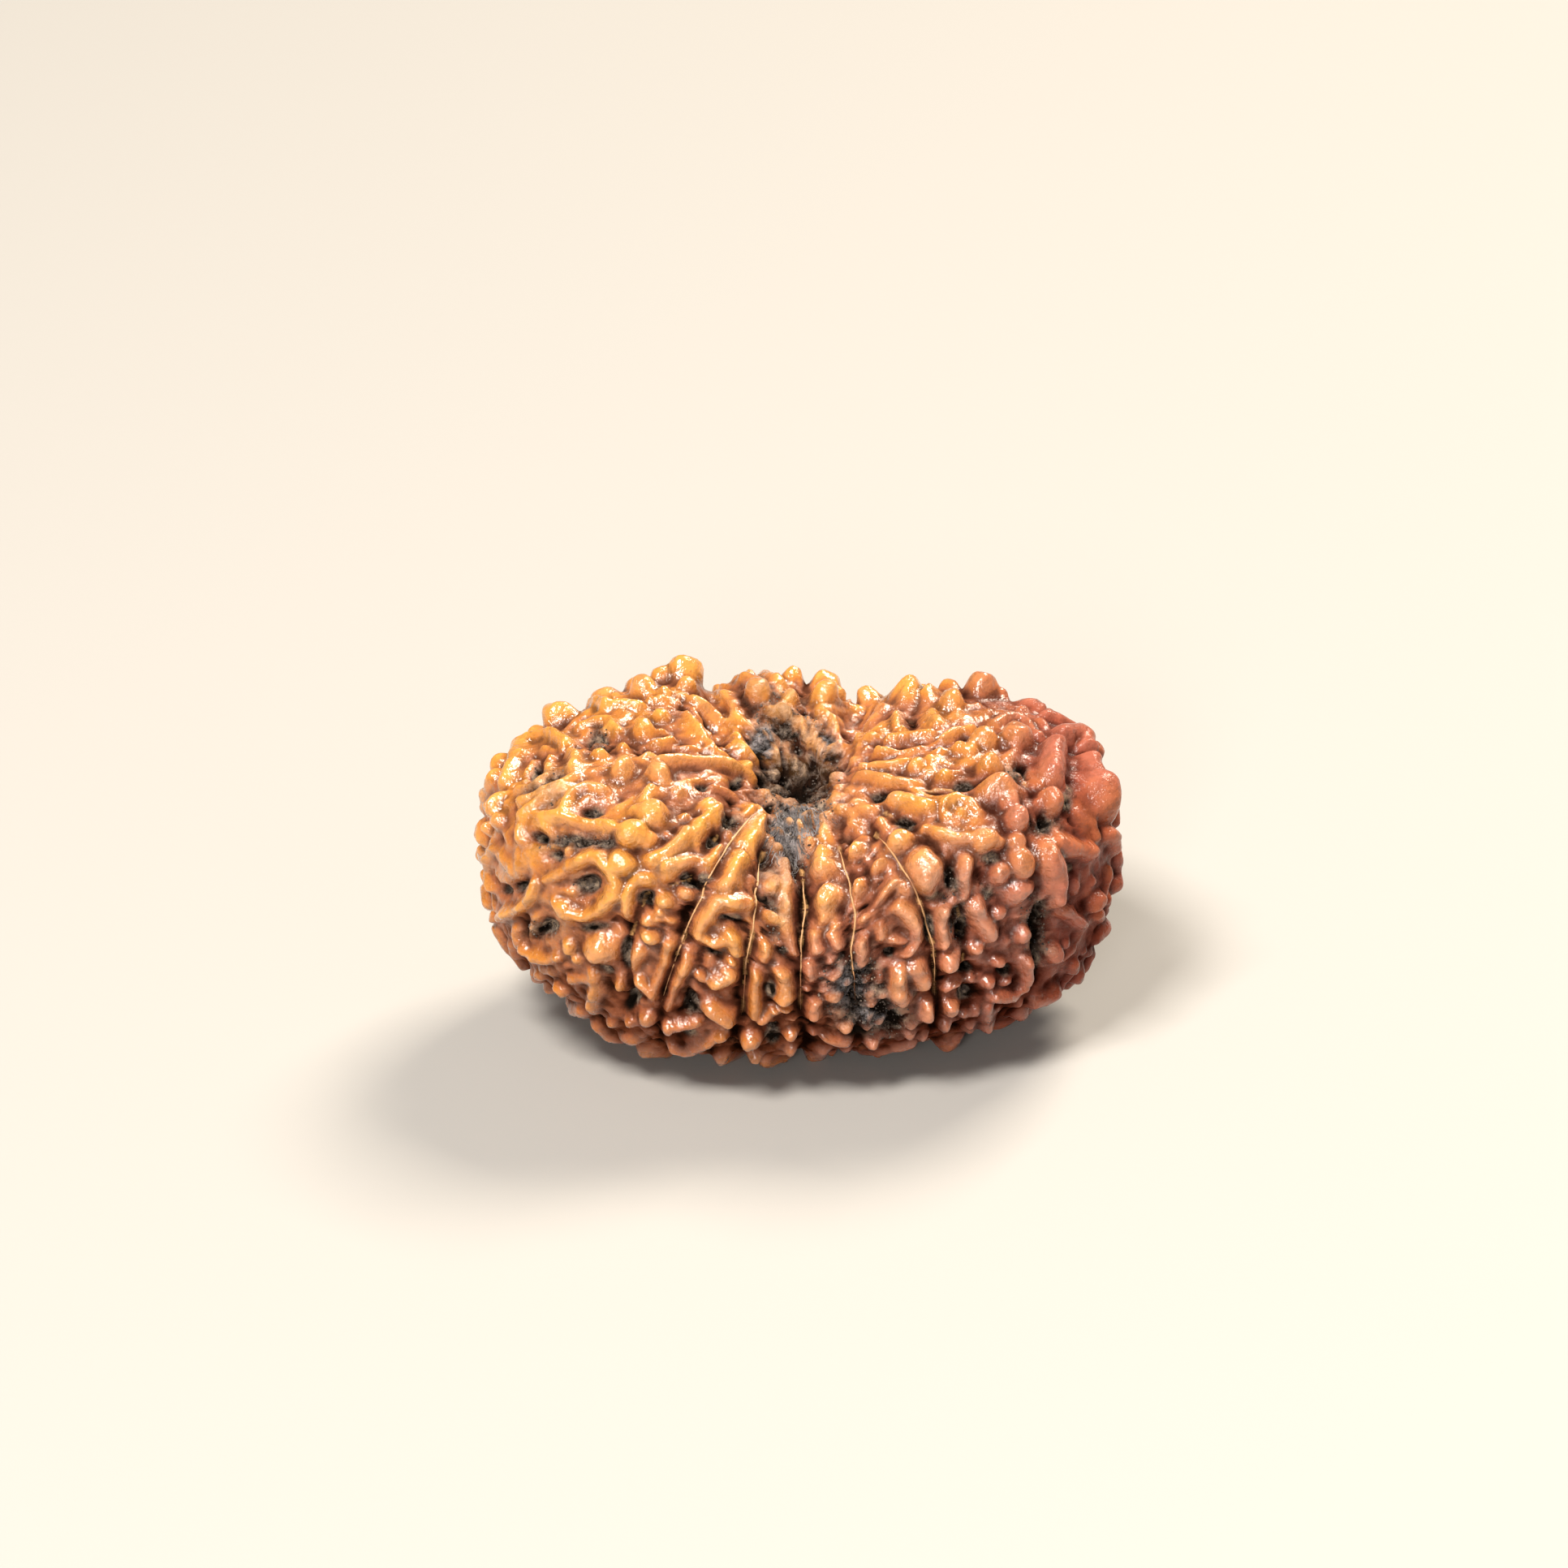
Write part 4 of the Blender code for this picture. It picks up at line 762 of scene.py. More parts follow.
def raise_ridges(form, floor, ridges):
    """Round crests standing on the floor, each as high as its width asks for.

    The places are warped and the widths and heights vary, so that no ridge is a regular tube.
    """
    warp = np.stack([grain(form, *field) for field in WARP_FIELDS], axis=1)
    swell = 1 + WIDTH_VARIATION * grain(form, *WIDTH_FIELD)
    order = np.argsort(form[:, 0], kind="stable")
    ordered = (form + WARP * warp)[order]
    swell = swell[order]
    relief = floor[order]
    for (height, foot, steepness), width, line in ridges:
        reach = width * RIDGE_REACH
        span = [line[:, 0].min() - reach - WARP, line[:, 0].max() + reach + WARP]
        first, last = np.searchsorted(form[order, 0], span)
        distance = line_distance(ordered[first:last], line)
        varied = width * swell[first:last]
        raised = height * varied * np.exp(-(distance / (foot * varied)) ** steepness) - RIDGE_ROOT
        near = distance < reach
        relief[first:last][near] = smooth_maximum(relief[first:last], raised, RIDGE_FILLET)[near]
    result = np.empty(len(form))
    result[order] = relief
    return result


def smooth_maximum(first, second, fillet):
    """The larger of the two, rounded over where they are within a fillet of each other."""
    near = np.clip(1 - np.abs(first - second) / fillet, 0, 1)
    return np.maximum(first, second) + fillet * near ** 2 / 4


def seen_patches(picker, patches):
    """Middle of each oval patch read from the photograph, with its two half axes on the form."""
    ovals = []
    for x, y, half_width, half_height in patches:
        middle = picker.point((x, y))
        across = picker.point((x + half_width, y)) - middle
        ovals.append((middle, across, picker.point((x, y + half_height)) - middle))
    return ovals


def patch_share(form, ovals):
    """1 in the middle of the oval patches, falling to 0 outside them."""
    share = np.zeros(len(form))
    for middle, across, down in ovals:
        shares = (form - middle) @ np.linalg.pinv(np.stack([across, down]))
        off_plane = np.linalg.norm(form - middle, axis=1) / (np.linalg.norm(across) + np.linalg.norm(down))
        share = np.maximum(share, np.exp(-(shares ** 2).sum(axis=1)) * (off_plane < 2))
    return share


def suture_distance(form, sutures):
    """Distance of each point of the form to the nearest suture."""
    lines = np.vstack(sutures)
    tree = KDTree(len(lines))
    for index, point in enumerate(lines):
        tree.insert(point, index)
    tree.balance()
    return np.array([tree.find(point)[2] for point in form])


def groove_depth(seam):
    """Depth of the grooves along the sutures, which leaves a rounded lobe between each two."""
    return SUTURE_DEPTH * bell(seam, SUTURE_HALF_WIDTH) + LOBE_DEPTH * bell(seam, LOBE_HALF_WIDTH)


def pit_share(form):
    """1 in the middle of the upper and lower pits, falling to 0 outside them."""
    return np.exp(-np.hypot(form[:, 0] / PIT_HALF_SIZE[0], form[:, 1] / PIT_HALF_SIZE[1]) ** 2)


def sphere_mesh(subdivisions):
    """Unit directions, triangles and edges of an icosphere."""
    sphere = bmesh.new()
    bmesh.ops.create_icosphere(sphere, subdivisions=subdivisions, radius=1.0)
    mesh = bpy.data.meshes.new("sphere")
    sphere.to_mesh(mesh)
    sphere.free()
    directions = np.empty(len(mesh.vertices) * 3)
    mesh.vertices.foreach_get("co", directions)
    triangles = np.empty(len(mesh.polygons) * 3, dtype=int)
    mesh.polygons.foreach_get("vertices", triangles)
    edges = np.empty(len(mesh.edges) * 2, dtype=int)
    mesh.edges.foreach_get("vertices", edges)
    return mesh, directions.reshape(-1, 3), triangles.reshape(-1, 3), edges.reshape(-1, 2)


def form_of(directions):
    return on_form(directions * [HALF_LENGTH, HALF_DEPTH, WAIST_HEIGHT])


def new_picker():
    """Picker on the grid that the CAD uses, lifted to about the height of the crests."""
    mesh, directions, triangles, _ = sphere_mesh(PICKING_SUBDIVISIONS)
    bpy.data.meshes.remove(mesh)
    form = form_of(directions)
    sunk = sunk_form(form)
    lifted = sunk + outward_normals(sunk, triangles) * PICKING_HEIGHT
    return Picker(form, lifted, triangles.tolist())


def neighbour_mean(values, edges, rounds):
    """Values smoothed over the mesh by averaging each vertex with its neighbours."""
    count = np.bincount(edges.ravel(), minlength=len(values))
    for _ in range(rounds):
        total = np.bincount(edges[:, 0], values[edges[:, 1]], len(values))
        total += np.bincount(edges[:, 1], values[edges[:, 0]], len(values))
        values = 0.5 * values + 0.5 * total / count
    return values


def grain(points, size, seed):
    """Smooth pseudo-random field over the points, about -1 to 1, with features of the given size."""
    draw = np.random.default_rng(seed)
    waves = draw.normal(size=(GRAIN_WAVES, 3)) / size
    phases = draw.uniform(0, 2 * math.pi, GRAIN_WAVES)
    return np.sin(points @ waves.T + phases).sum(axis=1) / GRAIN_SCALE


class Reading:
    """What is read from the photograph, placed on the smooth form, with the seeded ridges."""

    def __init__(self):
        picker = new_picker()
        self.sutures = suture_lines(picker)
        self.hollows = seen_patches(picker, HOLLOWS)
        self.dusty = seen_patches(picker, DUSTY)
        self.ashy = seen_patches(picker, ASHY)
        self.crevices = seen_patches(picker, CREVICES)
        self.ridges = seen_ridges(picker)
        self.ridges += hidden_ridges(self.ridges, self.hollows, self.sutures)


def streaks(form):
    """Grain drawn out along lines from the upper pit, strongest on the top."""
    angle = np.arctan2(form[:, 1], form[:, 0])
    spokes = np.stack([np.cos(angle), np.sin(angle)], axis=1) * STREAKS_AROUND
    places = np.hstack([spokes, STREAK_RUN * np.hypot(form[:, 0], form[:, 1])[:, None]])
    return grain(places, *STREAK_FIELD) * smooth_step(form[:, 2], *STREAK_ZONE)


def prominence(relief, edges, rounds, span):
    """Height over the mean around it, as 0.5 where level and 0 or 1 from half a span below or above."""
    return np.clip(0.5 + (relief - neighbour_mean(relief, edges, rounds)) / span, 0, 1)


def raised_surface(form, triangles, edges, reading):
    """Finished places of the form's points, and the fields that the finish is painted by."""
    seam = suture_distance(form, reading.sutures)
    pit = pit_share(form)
    dug = patch_share(form, reading.hollows)
    dust = patch_share(form, reading.dusty)
    crevice = patch_share(form, reading.crevices)
    streak = streaks(form)
    base = -groove_depth(seam) * (1 - pit) - HOLLOW_DEPTH * dug - CREVICE_DEPTH * crevice
    floor = base + FLOOR_GRAIN * grain(form, *FLOOR_FIELD)
    clearing = SEAM_CLEARING * bell(seam, SEAM_CLEARING_HALF_WIDTH) * (1 - pit)
    relief = floor + (raise_ridges(form, floor, reading.ridges) - floor) * (1 - clearing)
    relief += SUTURE_CREST * bell(seam, SUTURE_CREST_HALF_WIDTH) * (1 - pit)
    relief += LUMP * grain(form, *LUMP_FIELD) + STREAK * streak
    relief += FINE_GRAIN * grain(form, *FINE_FIELD) * (CLEAN_GRAIN + pit + dust)
    relief += PIT_CRAG * grain(form, *CRAG_FIELD) * np.maximum(pit, DUST_CRAG * dust)
    relief = neighbour_mean(relief, edges, 1)
    sunk = sunk_form(form)
    surface = sunk + outward_normals(sunk, triangles) * relief[:, None]
    surface[:, 2] = np.maximum(surface[:, 2], 0.0)
    off_centre = np.hypot(form[:, 0] - CHANNEL_PLACE[0], form[:, 1] - CHANNEL_PLACE[1])
    lowest, highest = HEIGHT_RANGE
    fields = {
        "crest": prominence(relief, edges, *CREST_REACH),
        # Used only for the painted shade in the folds
        "fold": prominence(relief, edges, *FOLD_REACH),
        "height": np.clip((relief - lowest) / (highest - lowest), 0, 1),
        "hollow": dug,
        "suture": bell(seam, SUTURE_CREST_HALF_WIDTH) * (relief < floor + BARE_SEAM_HEIGHT) * (1 - pit),
        "pit": pit,
        "dust": dust,
        "streak": streak,
        "ash": patch_share(form, reading.ashy),
        "crevice": crevice,
        # Painted black shade around the bore
        "bore": bell(off_centre, BORE_SHADE_HALF_WIDTH),
    }
    return surface, fields


def applied(bead, name):
    """Replace the object's mesh by its evaluated one, without modifiers."""
    evaluated = bead.evaluated_get(bpy.context.evaluated_depsgraph_get())
    mesh = bpy.data.meshes.new_from_object(evaluated)
    bead.modifiers.clear()
    bead.data = mesh
    mesh.name = name


def fine_stone(reading):
    """The stone with all its relief, and the landing that finds places on it."""
    mesh, directions, triangles, edges = sphere_mesh(GRID_SUBDIVISIONS)
    form = form_of(directions)
    surface, fields = raised_surface(form, triangles, edges, reading)
    middle = (surface.min(axis=0) + surface.max(axis=0)) / 2
    middle[2] = 0.0
    surface -= middle
    mesh.vertices.foreach_set("co", (surface * MM).ravel())
    mesh.update()
    bead = bpy.data.objects.new("stone", mesh)
    bpy.context.scene.collection.objects.link(bead)
    thin = bead.modifiers.new("thin", "DECIMATE")
    thin.ratio = TRIANGLE_LIMIT / len(mesh.polygons)
    applied(bead, "stone")
    bore_channel(bead)
    paint_fields(bead.data, surface * MM, fields)
    bead.data.shade_smooth()
    return bead, Landing(bead, middle)


def bore_channel(bead):
    """Thread channel from pit to pit."""
    mesh = bpy.data.meshes.new("channel_cutter")
    cylinder = bmesh.new()
    radius = CHANNEL_DIAMETER / 2 * MM
    bmesh.ops.create_cone(cylinder, cap_ends=True, segments=CHANNEL_SIDES, radius1=radius, radius2=radius,
                          depth=CUTTER_LENGTH * MM)
    cylinder.to_mesh(mesh)
    cylinder.free()
    cutter = bpy.data.objects.new("channel_cutter", mesh)
    cutter.location = (CHANNEL_PLACE[0] * MM, CHANNEL_PLACE[1] * MM, 0.0)
    bpy.context.scene.collection.objects.link(cutter)
    cut = bead.modifiers.new("channel", "BOOLEAN")
    cut.operation = "DIFFERENCE"
    cut.object = cutter
    applied(bead, "stone")
    bpy.data.objects.remove(cutter, do_unlink=True)


def paint_fields(mesh, places, fields):
    """Write the fields to the thinned mesh, each vertex from the nearest one of the full surface."""
    tree = KDTree(len(places))
    for index, place in enumerate(places):
        tree.insert(place, index)
    tree.balance()
    nearest = np.array([tree.find(vertex.co)[1] for vertex in mesh.vertices])
    for name, values in fields.items():
        attribute = mesh.attributes.new(name, "FLOAT", "POINT")
        attribute.data.foreach_set("value", values[nearest].astype(np.float32))


class Landing:
    """Finds where the finished stone lies over a point of the smooth form."""

    def __init__(self, bead, middle):
        corners = [tuple(polygon.vertices) for polygon in bead.data.polygons]
        self.tree = BVHTree.FromPolygons([vertex.co / MM for vertex in bead.data.vertices], corners)
        self.middle = middle

    def land(self, form):
        """Place and outward direction on the stone and its height over the form, or None in the bore."""
        normal = form_normals(form[None])[0]
        along = np.cross(normal, LANDING_ASIDE)
        beside = form + LANDING_STEP * np.array([along * 0.0, along, np.cross(normal, along)])
        sunk = sunk_form(on_form(beside - [0.0, 0.0, WAIST_HEIGHT]))
        outward = np.cross(sunk[1] - sunk[0], sunk[2] - sunk[0])
        outward /= np.linalg.norm(outward)
        start = sunk[0] - self.middle + LANDING_REACH * outward
        place, facing, _, _ = self.tree.ray_cast(Vector(start), Vector(-outward), 2 * LANDING_REACH)
        if place is None:
            return None
        return np.array(place), np.array(facing), LANDING_REACH - (Vector(start) - place).length


def on_form_near(point):
    """Point of the smooth form in the direction of one point near it."""
    return on_form((point - [0.0, 0.0, WAIST_HEIGHT])[None])[0]


class Tufts:
    """Thin tubes and grains gathered in one mesh."""

    def __init__(self):
        self.points = []
        self.faces = []

    def tube(self, line, half_widths, sides):
        """Tube along the line, with its half width at each point, closed at both ends."""
        line = np.array(line)
        ahead = np.gradient(line, axis=0)
        ahead /= np.linalg.norm(ahead, axis=1)[:, None] + TINY
        across = np.cross(ahead, TUBE_ASIDE)
        across /= np.linalg.norm(across, axis=1)[:, None] + TINY
        up = np.cross(ahead, across)
        first = len(self.points)
        for index, point in enumerate(line):
            for side in range(sides):
                angle = 2 * math.pi * side / sides
                spoke = across[index] * math.cos(angle) + up[index] * math.sin(angle)
                self.points.append(point + spoke * half_widths[index])
        for ring in range(len(line) - 1):
            low = first + ring * sides
            for side in range(sides):
                beside = (side + 1) % sides
                self.faces.append((low + side, low + beside, low + sides + beside, low + sides + side))
        self.faces.append(tuple(range(first + sides - 1, first - 1, -1)))
        last = first + (len(line) - 1) * sides
        self.faces.append(tuple(range(last, last + sides)))

    def grain(self, place, size, draw, ball):
        """Small lump: a ball with its corners drawn in and out."""
        first = len(self.points)
        corners, triangles = ball
        for corner in corners:
            self.points.append(place + corner * size * draw.uniform(*GRAIN_UNEVENNESS))
        self.faces += [tuple(first + corner for corner in triangle) for triangle in triangles]

    def piece(self, name, material):
        mesh = bpy.data.meshes.new(name)
        mesh.from_pydata([tuple(point * MM) for point in self.points], [], self.faces)
        mesh.materials.append(material)
        mesh.shade_smooth()
        piece = bpy.data.objects.new(name, mesh)
        bpy.context.scene.collection.objects.link(piece)
        return piece


def suture_strands(reading, landing):
    """Pale raised threads of wood along the front sutures, thinner towards their ends."""
    tufts = Tufts()
    draw = random.Random(SEED)
    for suture in reading.sutures[:STRANDS]:
        landed = [landing.land(point) for point in suture]
        line = np.array([hit[0] for hit in landed if hit])
        line[1:-1] = (line[:-2] + line[1:-1] + line[2:]) / 3
        line = line[line[:, 2] > STRAND_FLOOR]
        strength = smooth_step(line[:, 2], *STRAND_HEIGHT_ZONE) * smooth_step(line[:, 1], *STRAND_FRONT_ZONE)
        half_widths = LEAST_STRAND + (STRAND_HALF_WIDTH - LEAST_STRAND) * strength
        half_widths *= [draw.uniform(*STRAND_VARIATION) for _ in line]
        from_end = np.minimum(np.arange(len(line)), np.arange(len(line))[::-1])
        tufts.tube(line, half_widths * np.clip(from_end / STRAND_TAPER, STRAND_TIP, 1.0), STRAND_SIDES)
    return tufts.piece("suture_strands", strand_material())


def spot(oval, draw):
    """Seeded point of the form inside an oval patch."""
    middle, across, down = oval
    reach = math.sqrt(draw.random())
    turn = draw.uniform(0.0, 2 * math.pi)
    return on_form_near(middle + across * reach * math.cos(turn) + down * reach * math.sin(turn))


def pit_fibres(reading, landing):
    """Loose fibres in the pit and down the front valley, mostly pointing out of the pit."""
    tufts = Tufts()
    draw = random.Random(SEED)
    for _ in range(FIBRE_COUNT):
        point = spot(draw.choice(reading.ashy[:FIBRE_PATCHES]), draw)
        heading = np.array([FIBRE_FAN * point[0] + draw.gauss(0, FIBRE_SPREAD), -1.0, 0.0])
        steps = draw.randint(*FIBRE_STEPS)
        line = []
        for step in range(steps):
            landed = landing.land(on_form_near(point + heading * FIBRE_STEP * step))
            if landed is None or landed[2] > FIBRE_CEILING:
                break
            line.append(landed[0] + landed[1] * FIBRE_LIFT)
            heading[0] += draw.gauss(0, FIBRE_BEND)
        if len(line) > 2:
            half_width = draw.uniform(*FIBRE_HALF_WIDTH)
            tufts.tube(line, [half_width] * (len(line) - 1) + [FIBRE_TIP], FIBRE_SIDES)
    return tufts.piece("pit_fibres", dull_material("pit_fibre", FIBRE))


def residue_grains(reading, landing):
    """Grit caked in the pit, the hollows and the dusty patches."""
    tufts = Tufts()
    draw = random.Random(SEED)
    mesh, corners, triangles, _ = sphere_mesh(1)
    bpy.data.meshes.remove(mesh)
    ball = (corners, triangles.tolist())
    for patches, density in zip((reading.dusty, reading.hollows), GRAINS_PER_MM2):
        for oval in patches:
            area = math.pi * np.linalg.norm(oval[1]) * np.linalg.norm(oval[2])
            for _ in range(int(area * density)):
                landed = landing.land(spot(oval, draw))
                size = draw.uniform(*GRAIN_SIZE)
                if landed is not None and landed[2] < GRAIN_CEILING:
                    tufts.grain(landed[0], size, draw, ball)
    return tufts.piece("residue_grains", dull_material("residue_grain", GRIT))


class Value:
    """What a node's output carries. Sums, differences and products of values are further nodes."""

    def __init__(self, nodes, socket):
        self.nodes = nodes
        self.socket = socket

    def __add__(self, other):
        return self.nodes.math("ADD", self, other)

    def __sub__(self, other):
        return self.nodes.math("SUBTRACT", self, other)

    def __rsub__(self, other):
        return self.nodes.math("SUBTRACT", other, self)

    def __mul__(self, other):
        return self.nodes.math("MULTIPLY", self, other)

    def most(self, other):
        """The larger of the two."""
        return self.nodes.math("MAXIMUM", self, other)

    def remap(self, start, end, to_start=0.0, to_end=1.0):
        """The value drawn from one range to another, and clamped there."""
        limits = {"From Min": start, "From Max": end, "To Min": to_start, "To Max": to_end}
        return self.nodes.node("ShaderNodeMapRange", "Result", {"Value": self, **limits}, clamp=True)

    def along(self, start, end, to_start=0.0, to_end=1.0):
        """The same for a place in metres, with the start and end in millimetres."""
        return self.remap(start * MM, end * MM, to_start, to_end)


class Nodes:
    """A material, with short ways to add nodes to it."""

    def __init__(self, name):
        self.material = bpy.data.materials.new(name)
        self.material.use_nodes = True
        self.tree = self.material.node_tree
        self.shader = self.tree.nodes["Principled BSDF"]

    def feed(self, socket, value):
        """Link a value to a socket, or set a number or colour on it."""
        if isinstance(value, Value):
            self.tree.links.new(value.socket, socket)
        elif socket.type == "RGBA":
            socket.default_value = (*value, 1.0)
        else:
            socket.default_value = value

    def node(self, kind, output, inputs=(), **settings):
        """Output of a new node, with its inputs fed by name or number."""
        node = self.tree.nodes.new(kind)
        for name, setting in settings.items():
            setattr(node, name, setting)
        for name, value in dict(inputs).items():
            self.feed(node.inputs[name], value)
        return Value(self, node.outputs[output])

    def math(self, operation, first, second):
        return self.node("ShaderNodeMath", "Value", {0: first, 1: second}, operation=operation)

    def field(self, name):
        return self.node("ShaderNodeAttribute", "Fac", attribute_name=name)

    def place(self):
        return self.node("ShaderNodeTexCoord", "Object")

    def axes(self):
        """The place along X, Y and Z, in metres."""
        place = self.place()
        return [self.node("ShaderNodeSeparateXYZ", axis, {"Vector": place}) for axis in "XYZ"]

    def noise(self, scale, detail, roughness):
        inputs = {"Vector": self.place(), "Scale": scale, "Detail": detail, "Roughness": roughness}
        return self.node("ShaderNodeTexNoise", "Fac", inputs)

    def mix(self, share, first, second, blend="MIX"):
        inputs = {"Factor": share, "A": first, "B": second}
        return self.node("ShaderNodeMix", "Result", inputs, data_type="RGBA", blend_type=blend)

    def ramp(self, value, stops):
        node = self.tree.nodes.new("ShaderNodeValToRGB")
        band = node.color_ramp
        while len(band.elements) < len(stops):
            band.elements.new(0.5)
        for element, (place, colour) in zip(band.elements, stops):
            element.position = place
            element.color = (*colour, 1.0)
        self.feed(node.inputs["Fac"], value)
        return Value(self, node.outputs["Color"])

    def shaded(self, **inputs):
        """The material, with its shader's inputs fed."""
        for name, value in inputs.items():
            self.feed(self.shader.inputs[name.replace("_", " ")], value)
        return self.material


def wood_colour(nodes, tone, wrinkles):
    """Golden wood, rosy at the front right, mottled and faded, with painted shade in its wrinkles and folds,
    on its underside and, with a redder tint, at its right end.
    """
    x, _, z = nodes.axes()
    end = x.along(*REDDER_SHADED_END)
    rosy_share = (x.along(*ROSY_SIDE) * z.along(*ROSY_FRONT)).most(end)
    rosy_share += nodes.noise(*ROSY_NOISE).remap(*ROSY_PATCHES)
    colour = nodes.mix(rosy_share.remap(0.0, 1.0), nodes.ramp(tone, GOLDEN_WOOD), nodes.ramp(tone, ROSY_WOOD))
    mottle = nodes.noise(*MOTTLE_NOISE)
    colour = nodes.mix(mottle.remap(*FADING), colour, FADED_ROSE)
    # Painted shade in the wrinkles and folds, times a random mottling of the wood's own tone
    mottle_and_crease_shade = mottle.remap(*MOTTLING) * (wrinkles * nodes.field("fold").remap(*FOLD_SHADE))
    colour = nodes.mix(1.0, colour, mottle_and_crease_shade, "MULTIPLY")
    # Right end: redder wood, darkened as painted shade
    colour = nodes.mix(end, colour, END_TINT_AND_SHADE, "MULTIPLY")
    # Painted shade: darker and redder towards the bottom
    return nodes.mix(z.along(*LOWER_PART), colour, UNDERSIDE_SHADE, "MULTIPLY")


def stone_material():
    """Oiled seed stone: amber crests, valleys darker partly as painted shade, painted light on the top,
    residue in the hollows, pale suture lines, painted black shade in the crevices and the bore.
    """
    nodes = Nodes("seed_stone")
    x, y, z = nodes.axes()
    hollow, pit = nodes.field("hollow"), nodes.field("pit")
    # Lighter on crests and high places, darker in valleys and at ridge feet: partly the wood's own colour,
    # partly painted shade
    raw_tone = nodes.field("crest") * CREST_TONE + nodes.field("height") * HEIGHT_TONE
    raw_tone += nodes.noise(*TONE_NOISE).remap(*TONE_SPREAD)
    raw_tone += nodes.field("streak").remap(*STREAK_SPREAD)
    # Painted light: the tone raised towards the top, outside the hollows and the pit
    tone = raw_tone + z.along(*PAINTED_TOP_LIGHT) * (1.0 - hollow.most(pit))
    wrinkles = nodes.noise(*WRINKLE_NOISE).remap(*WRINKLES)
    wood = wood_colour(nodes, tone, wrinkles)

    speckle = nodes.noise(*SPECKLE_NOISE)
    crag = nodes.noise(*CRAG_NOISE).remap(*CRAGS)
    # Residue tone: random speckle and crags, with painted shade in low places and in the pit and painted
    # light in the upper hollows
    residue_tone_and_shade = speckle * SPECKLE_SHADE + raw_tone * TONE_SHADE + crag * CRAG_SHADE
    residue_tone_and_shade += hollow * z.along(*PAINTED_HOLLOW_TOP_LIGHT)
    residue_tone_and_shade -= pit.remap(*PIT_SHADE) * PIT_DARKENING
    ash = nodes.field("ash").remap(*PATCH) * raw_tone.remap(*ASH_LOW)
    sunk = hollow.remap(*PATCH) * raw_tone.remap(*HOLLOW_LOW)
    coated = nodes.field("dust").remap(*DUST_PATCH) * tone.remap(*DUST_LOW)
    coated *= nodes.noise(*COVER_NOISE).remap(*COVER)
    residue_share = sunk.most(coated).most(ash).most(pit.remap(*PIT_FILL))
    residue = nodes.mix(ash, nodes.ramp(residue_tone_and_shade, RESIDUE), nodes.ramp(residue_tone_and_shade, ASH))
    colour = nodes.mix(residue_share, wood, residue)

    shown = y.along(*LINE_FRONT) * z.along(*LINE_HEIGHT)
    colour = nodes.mix(nodes.field("suture").remap(*PALE_LINE) * shown, colour, SUTURE_BEIGE)
    # Painted shade: black in the crevices and around the bore
    black_shade = (nodes.field("crevice").remap(*PATCH) * tone.remap(*CREVICE_LOW)).most(nodes.field("bore"))
    colour = nodes.mix(black_shade, colour, BLACK_SHADE_AND_GRIT)

    polish = (1.0 - residue_share.most(black_shade)) * tone.remap(*POLISH) * x.along(*DULL_END)
    bumps = nodes.noise(*LUMP_NOISE) + nodes.noise(*FINE_LUMP_NOISE) * FINE_LUMP_BUMP
    bumps += (speckle + crag * CRAG_BUMP) * residue_share
    bumps += wrinkles * WRINKLE_BUMP
    inputs = {"Strength": BUMP_STRENGTH, "Distance": BUMP_HEIGHT * MM, "Height": bumps}
    normal = nodes.node("ShaderNodeBump", "Normal", inputs)
    return nodes.shaded(
        Base_Color=colour, Roughness=tone.remap(*GLOSS).most(residue_share * 0.95), Normal=normal,
        Specular_IOR_Level=polish * 0.5, Coat_Weight=polish, Coat_Roughness=0.09, Coat_Normal=normal,
        Subsurface_Weight=0.06, Subsurface_Scale=0.6 * MM, Subsurface_Radius=(1.0, 0.45, 0.2))


def strand_material():
    """Pale dry wood, browner here and there."""
    nodes = Nodes("suture_strand")
    _, y, z = nodes.axes()
    dry = nodes.noise(*COVER_NOISE) + z.along(*DRY_HEIGHT) - y.along(*DRY_FRONT)
    return nodes.shaded(Base_Color=nodes.ramp(dry, DRY_WOOD), Roughness=0.42)


def dull_material(name, stops):
    """Dull grit or fibre, dark and pale by turns."""
    nodes = Nodes(name)
    return nodes.shaded(Base_Color=nodes.ramp(nodes.noise(*GRIT_NOISE), stops), Roughness=0.7)


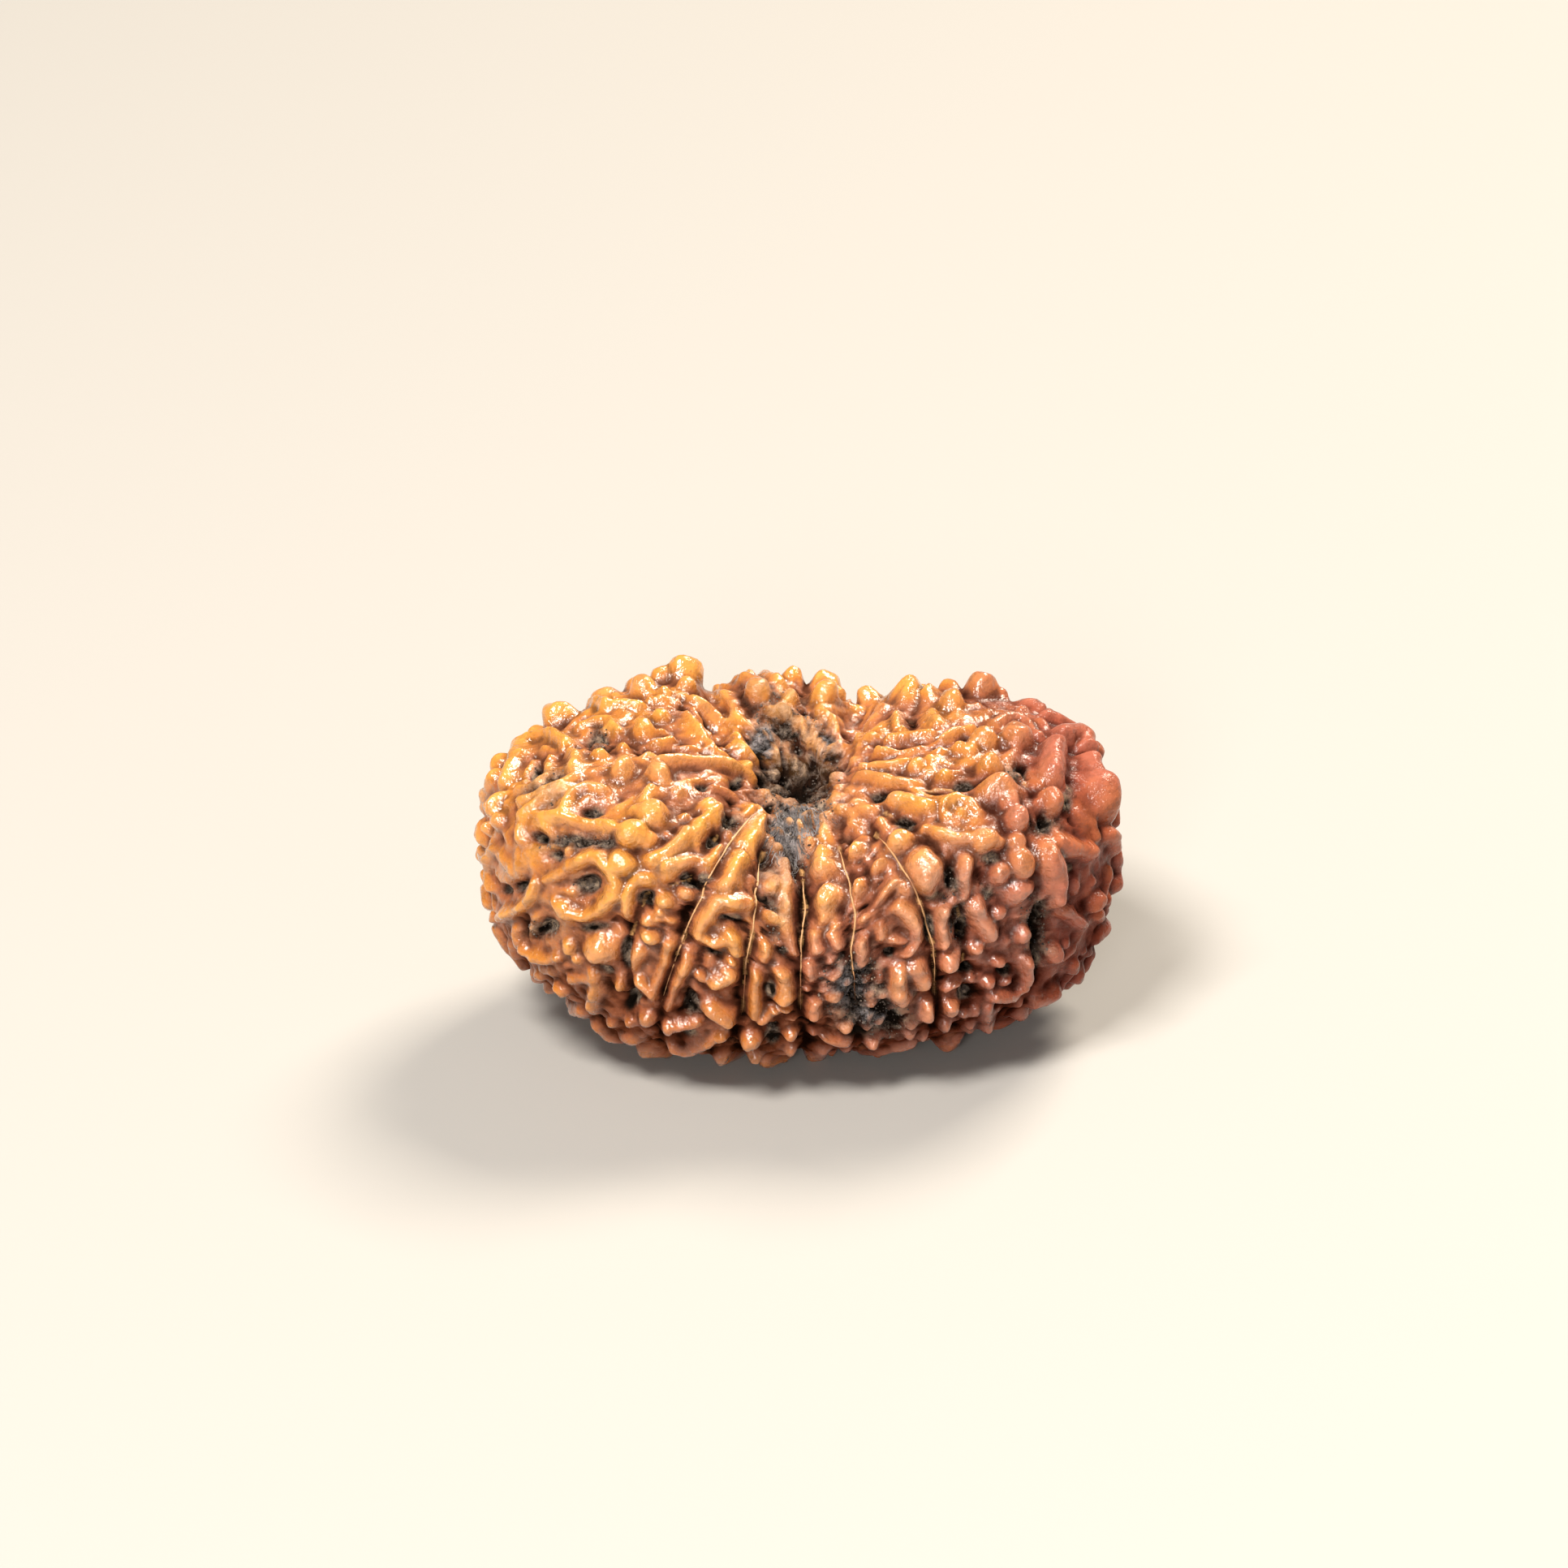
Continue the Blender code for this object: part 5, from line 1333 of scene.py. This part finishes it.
def lay_floor():
    bpy.ops.mesh.primitive_plane_add(size=FLOOR_SIZE, location=(0, 0, -FLOOR_DROP * MM))
    floor = bpy.context.object
    floor.name = "floor"
    floor.data.materials.append(Nodes("pale_floor").shaded(Base_Color=FLOOR_COLOUR, Roughness=0.6))


def area_light(name, place, size, power, colour):
    """Square light at a place, aimed at the bead."""
    light = bpy.data.lights.new(name, "AREA")
    light.size = size
    light.energy = power
    light.color = colour
    lamp = bpy.data.objects.new(name, light)
    lamp.location = place
    lamp.rotation_euler = (Vector(place) - Vector(VIEW_TARGET) * MM).to_track_quat("Z", "Y").to_euler()
    bpy.context.scene.collection.objects.link(lamp)


def light_studio():
    world = bpy.data.worlds.new("studio")
    world.use_nodes = True
    background = world.node_tree.nodes["Background"]
    background.inputs["Color"].default_value = (*WORLD_COLOUR, 1.0)
    background.inputs["Strength"].default_value = WORLD_STRENGTH
    bpy.context.scene.world = world
    for light in LIGHTS:
        area_light(*light)
    bpy.context.scene.view_settings.view_transform = "Standard"


def place_camera():
    """Camera at the photograph's viewpoint, with the bead where the photograph has it."""
    eye, right, up, ahead = viewpoint()
    camera = bpy.data.objects.new("camera", bpy.data.cameras.new("camera"))
    camera.data.sensor_width = SENSOR_WIDTH
    camera.data.lens = SENSOR_WIDTH * VIEW_DISTANCE / (PHOTO_SIZE * PIXEL)
    camera.data.clip_start = NEAREST_SEEN
    slide = right * (TARGET_PIXEL[0] - PHOTO_SIZE / 2) - up * (TARGET_PIXEL[1] - PHOTO_SIZE / 2)
    turn = Matrix((right, up, -ahead)).transposed().to_4x4()
    camera.matrix_world = Matrix.Translation((eye - slide * PIXEL) * MM) @ turn
    bpy.context.scene.collection.objects.link(camera)
    bpy.context.scene.camera = camera


def main():
    place_camera()
    light_studio()
    lay_floor()
    reading = Reading()
    bead, landing = fine_stone(reading)
    bead.data.materials.clear()
    bead.data.materials.append(stone_material())
    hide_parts(NODE)
    extras = [make(reading, landing) for make in (suture_strands, pit_fibres, residue_grains)]
    for piece in [bead] + extras:
        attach(piece, "root")


main()
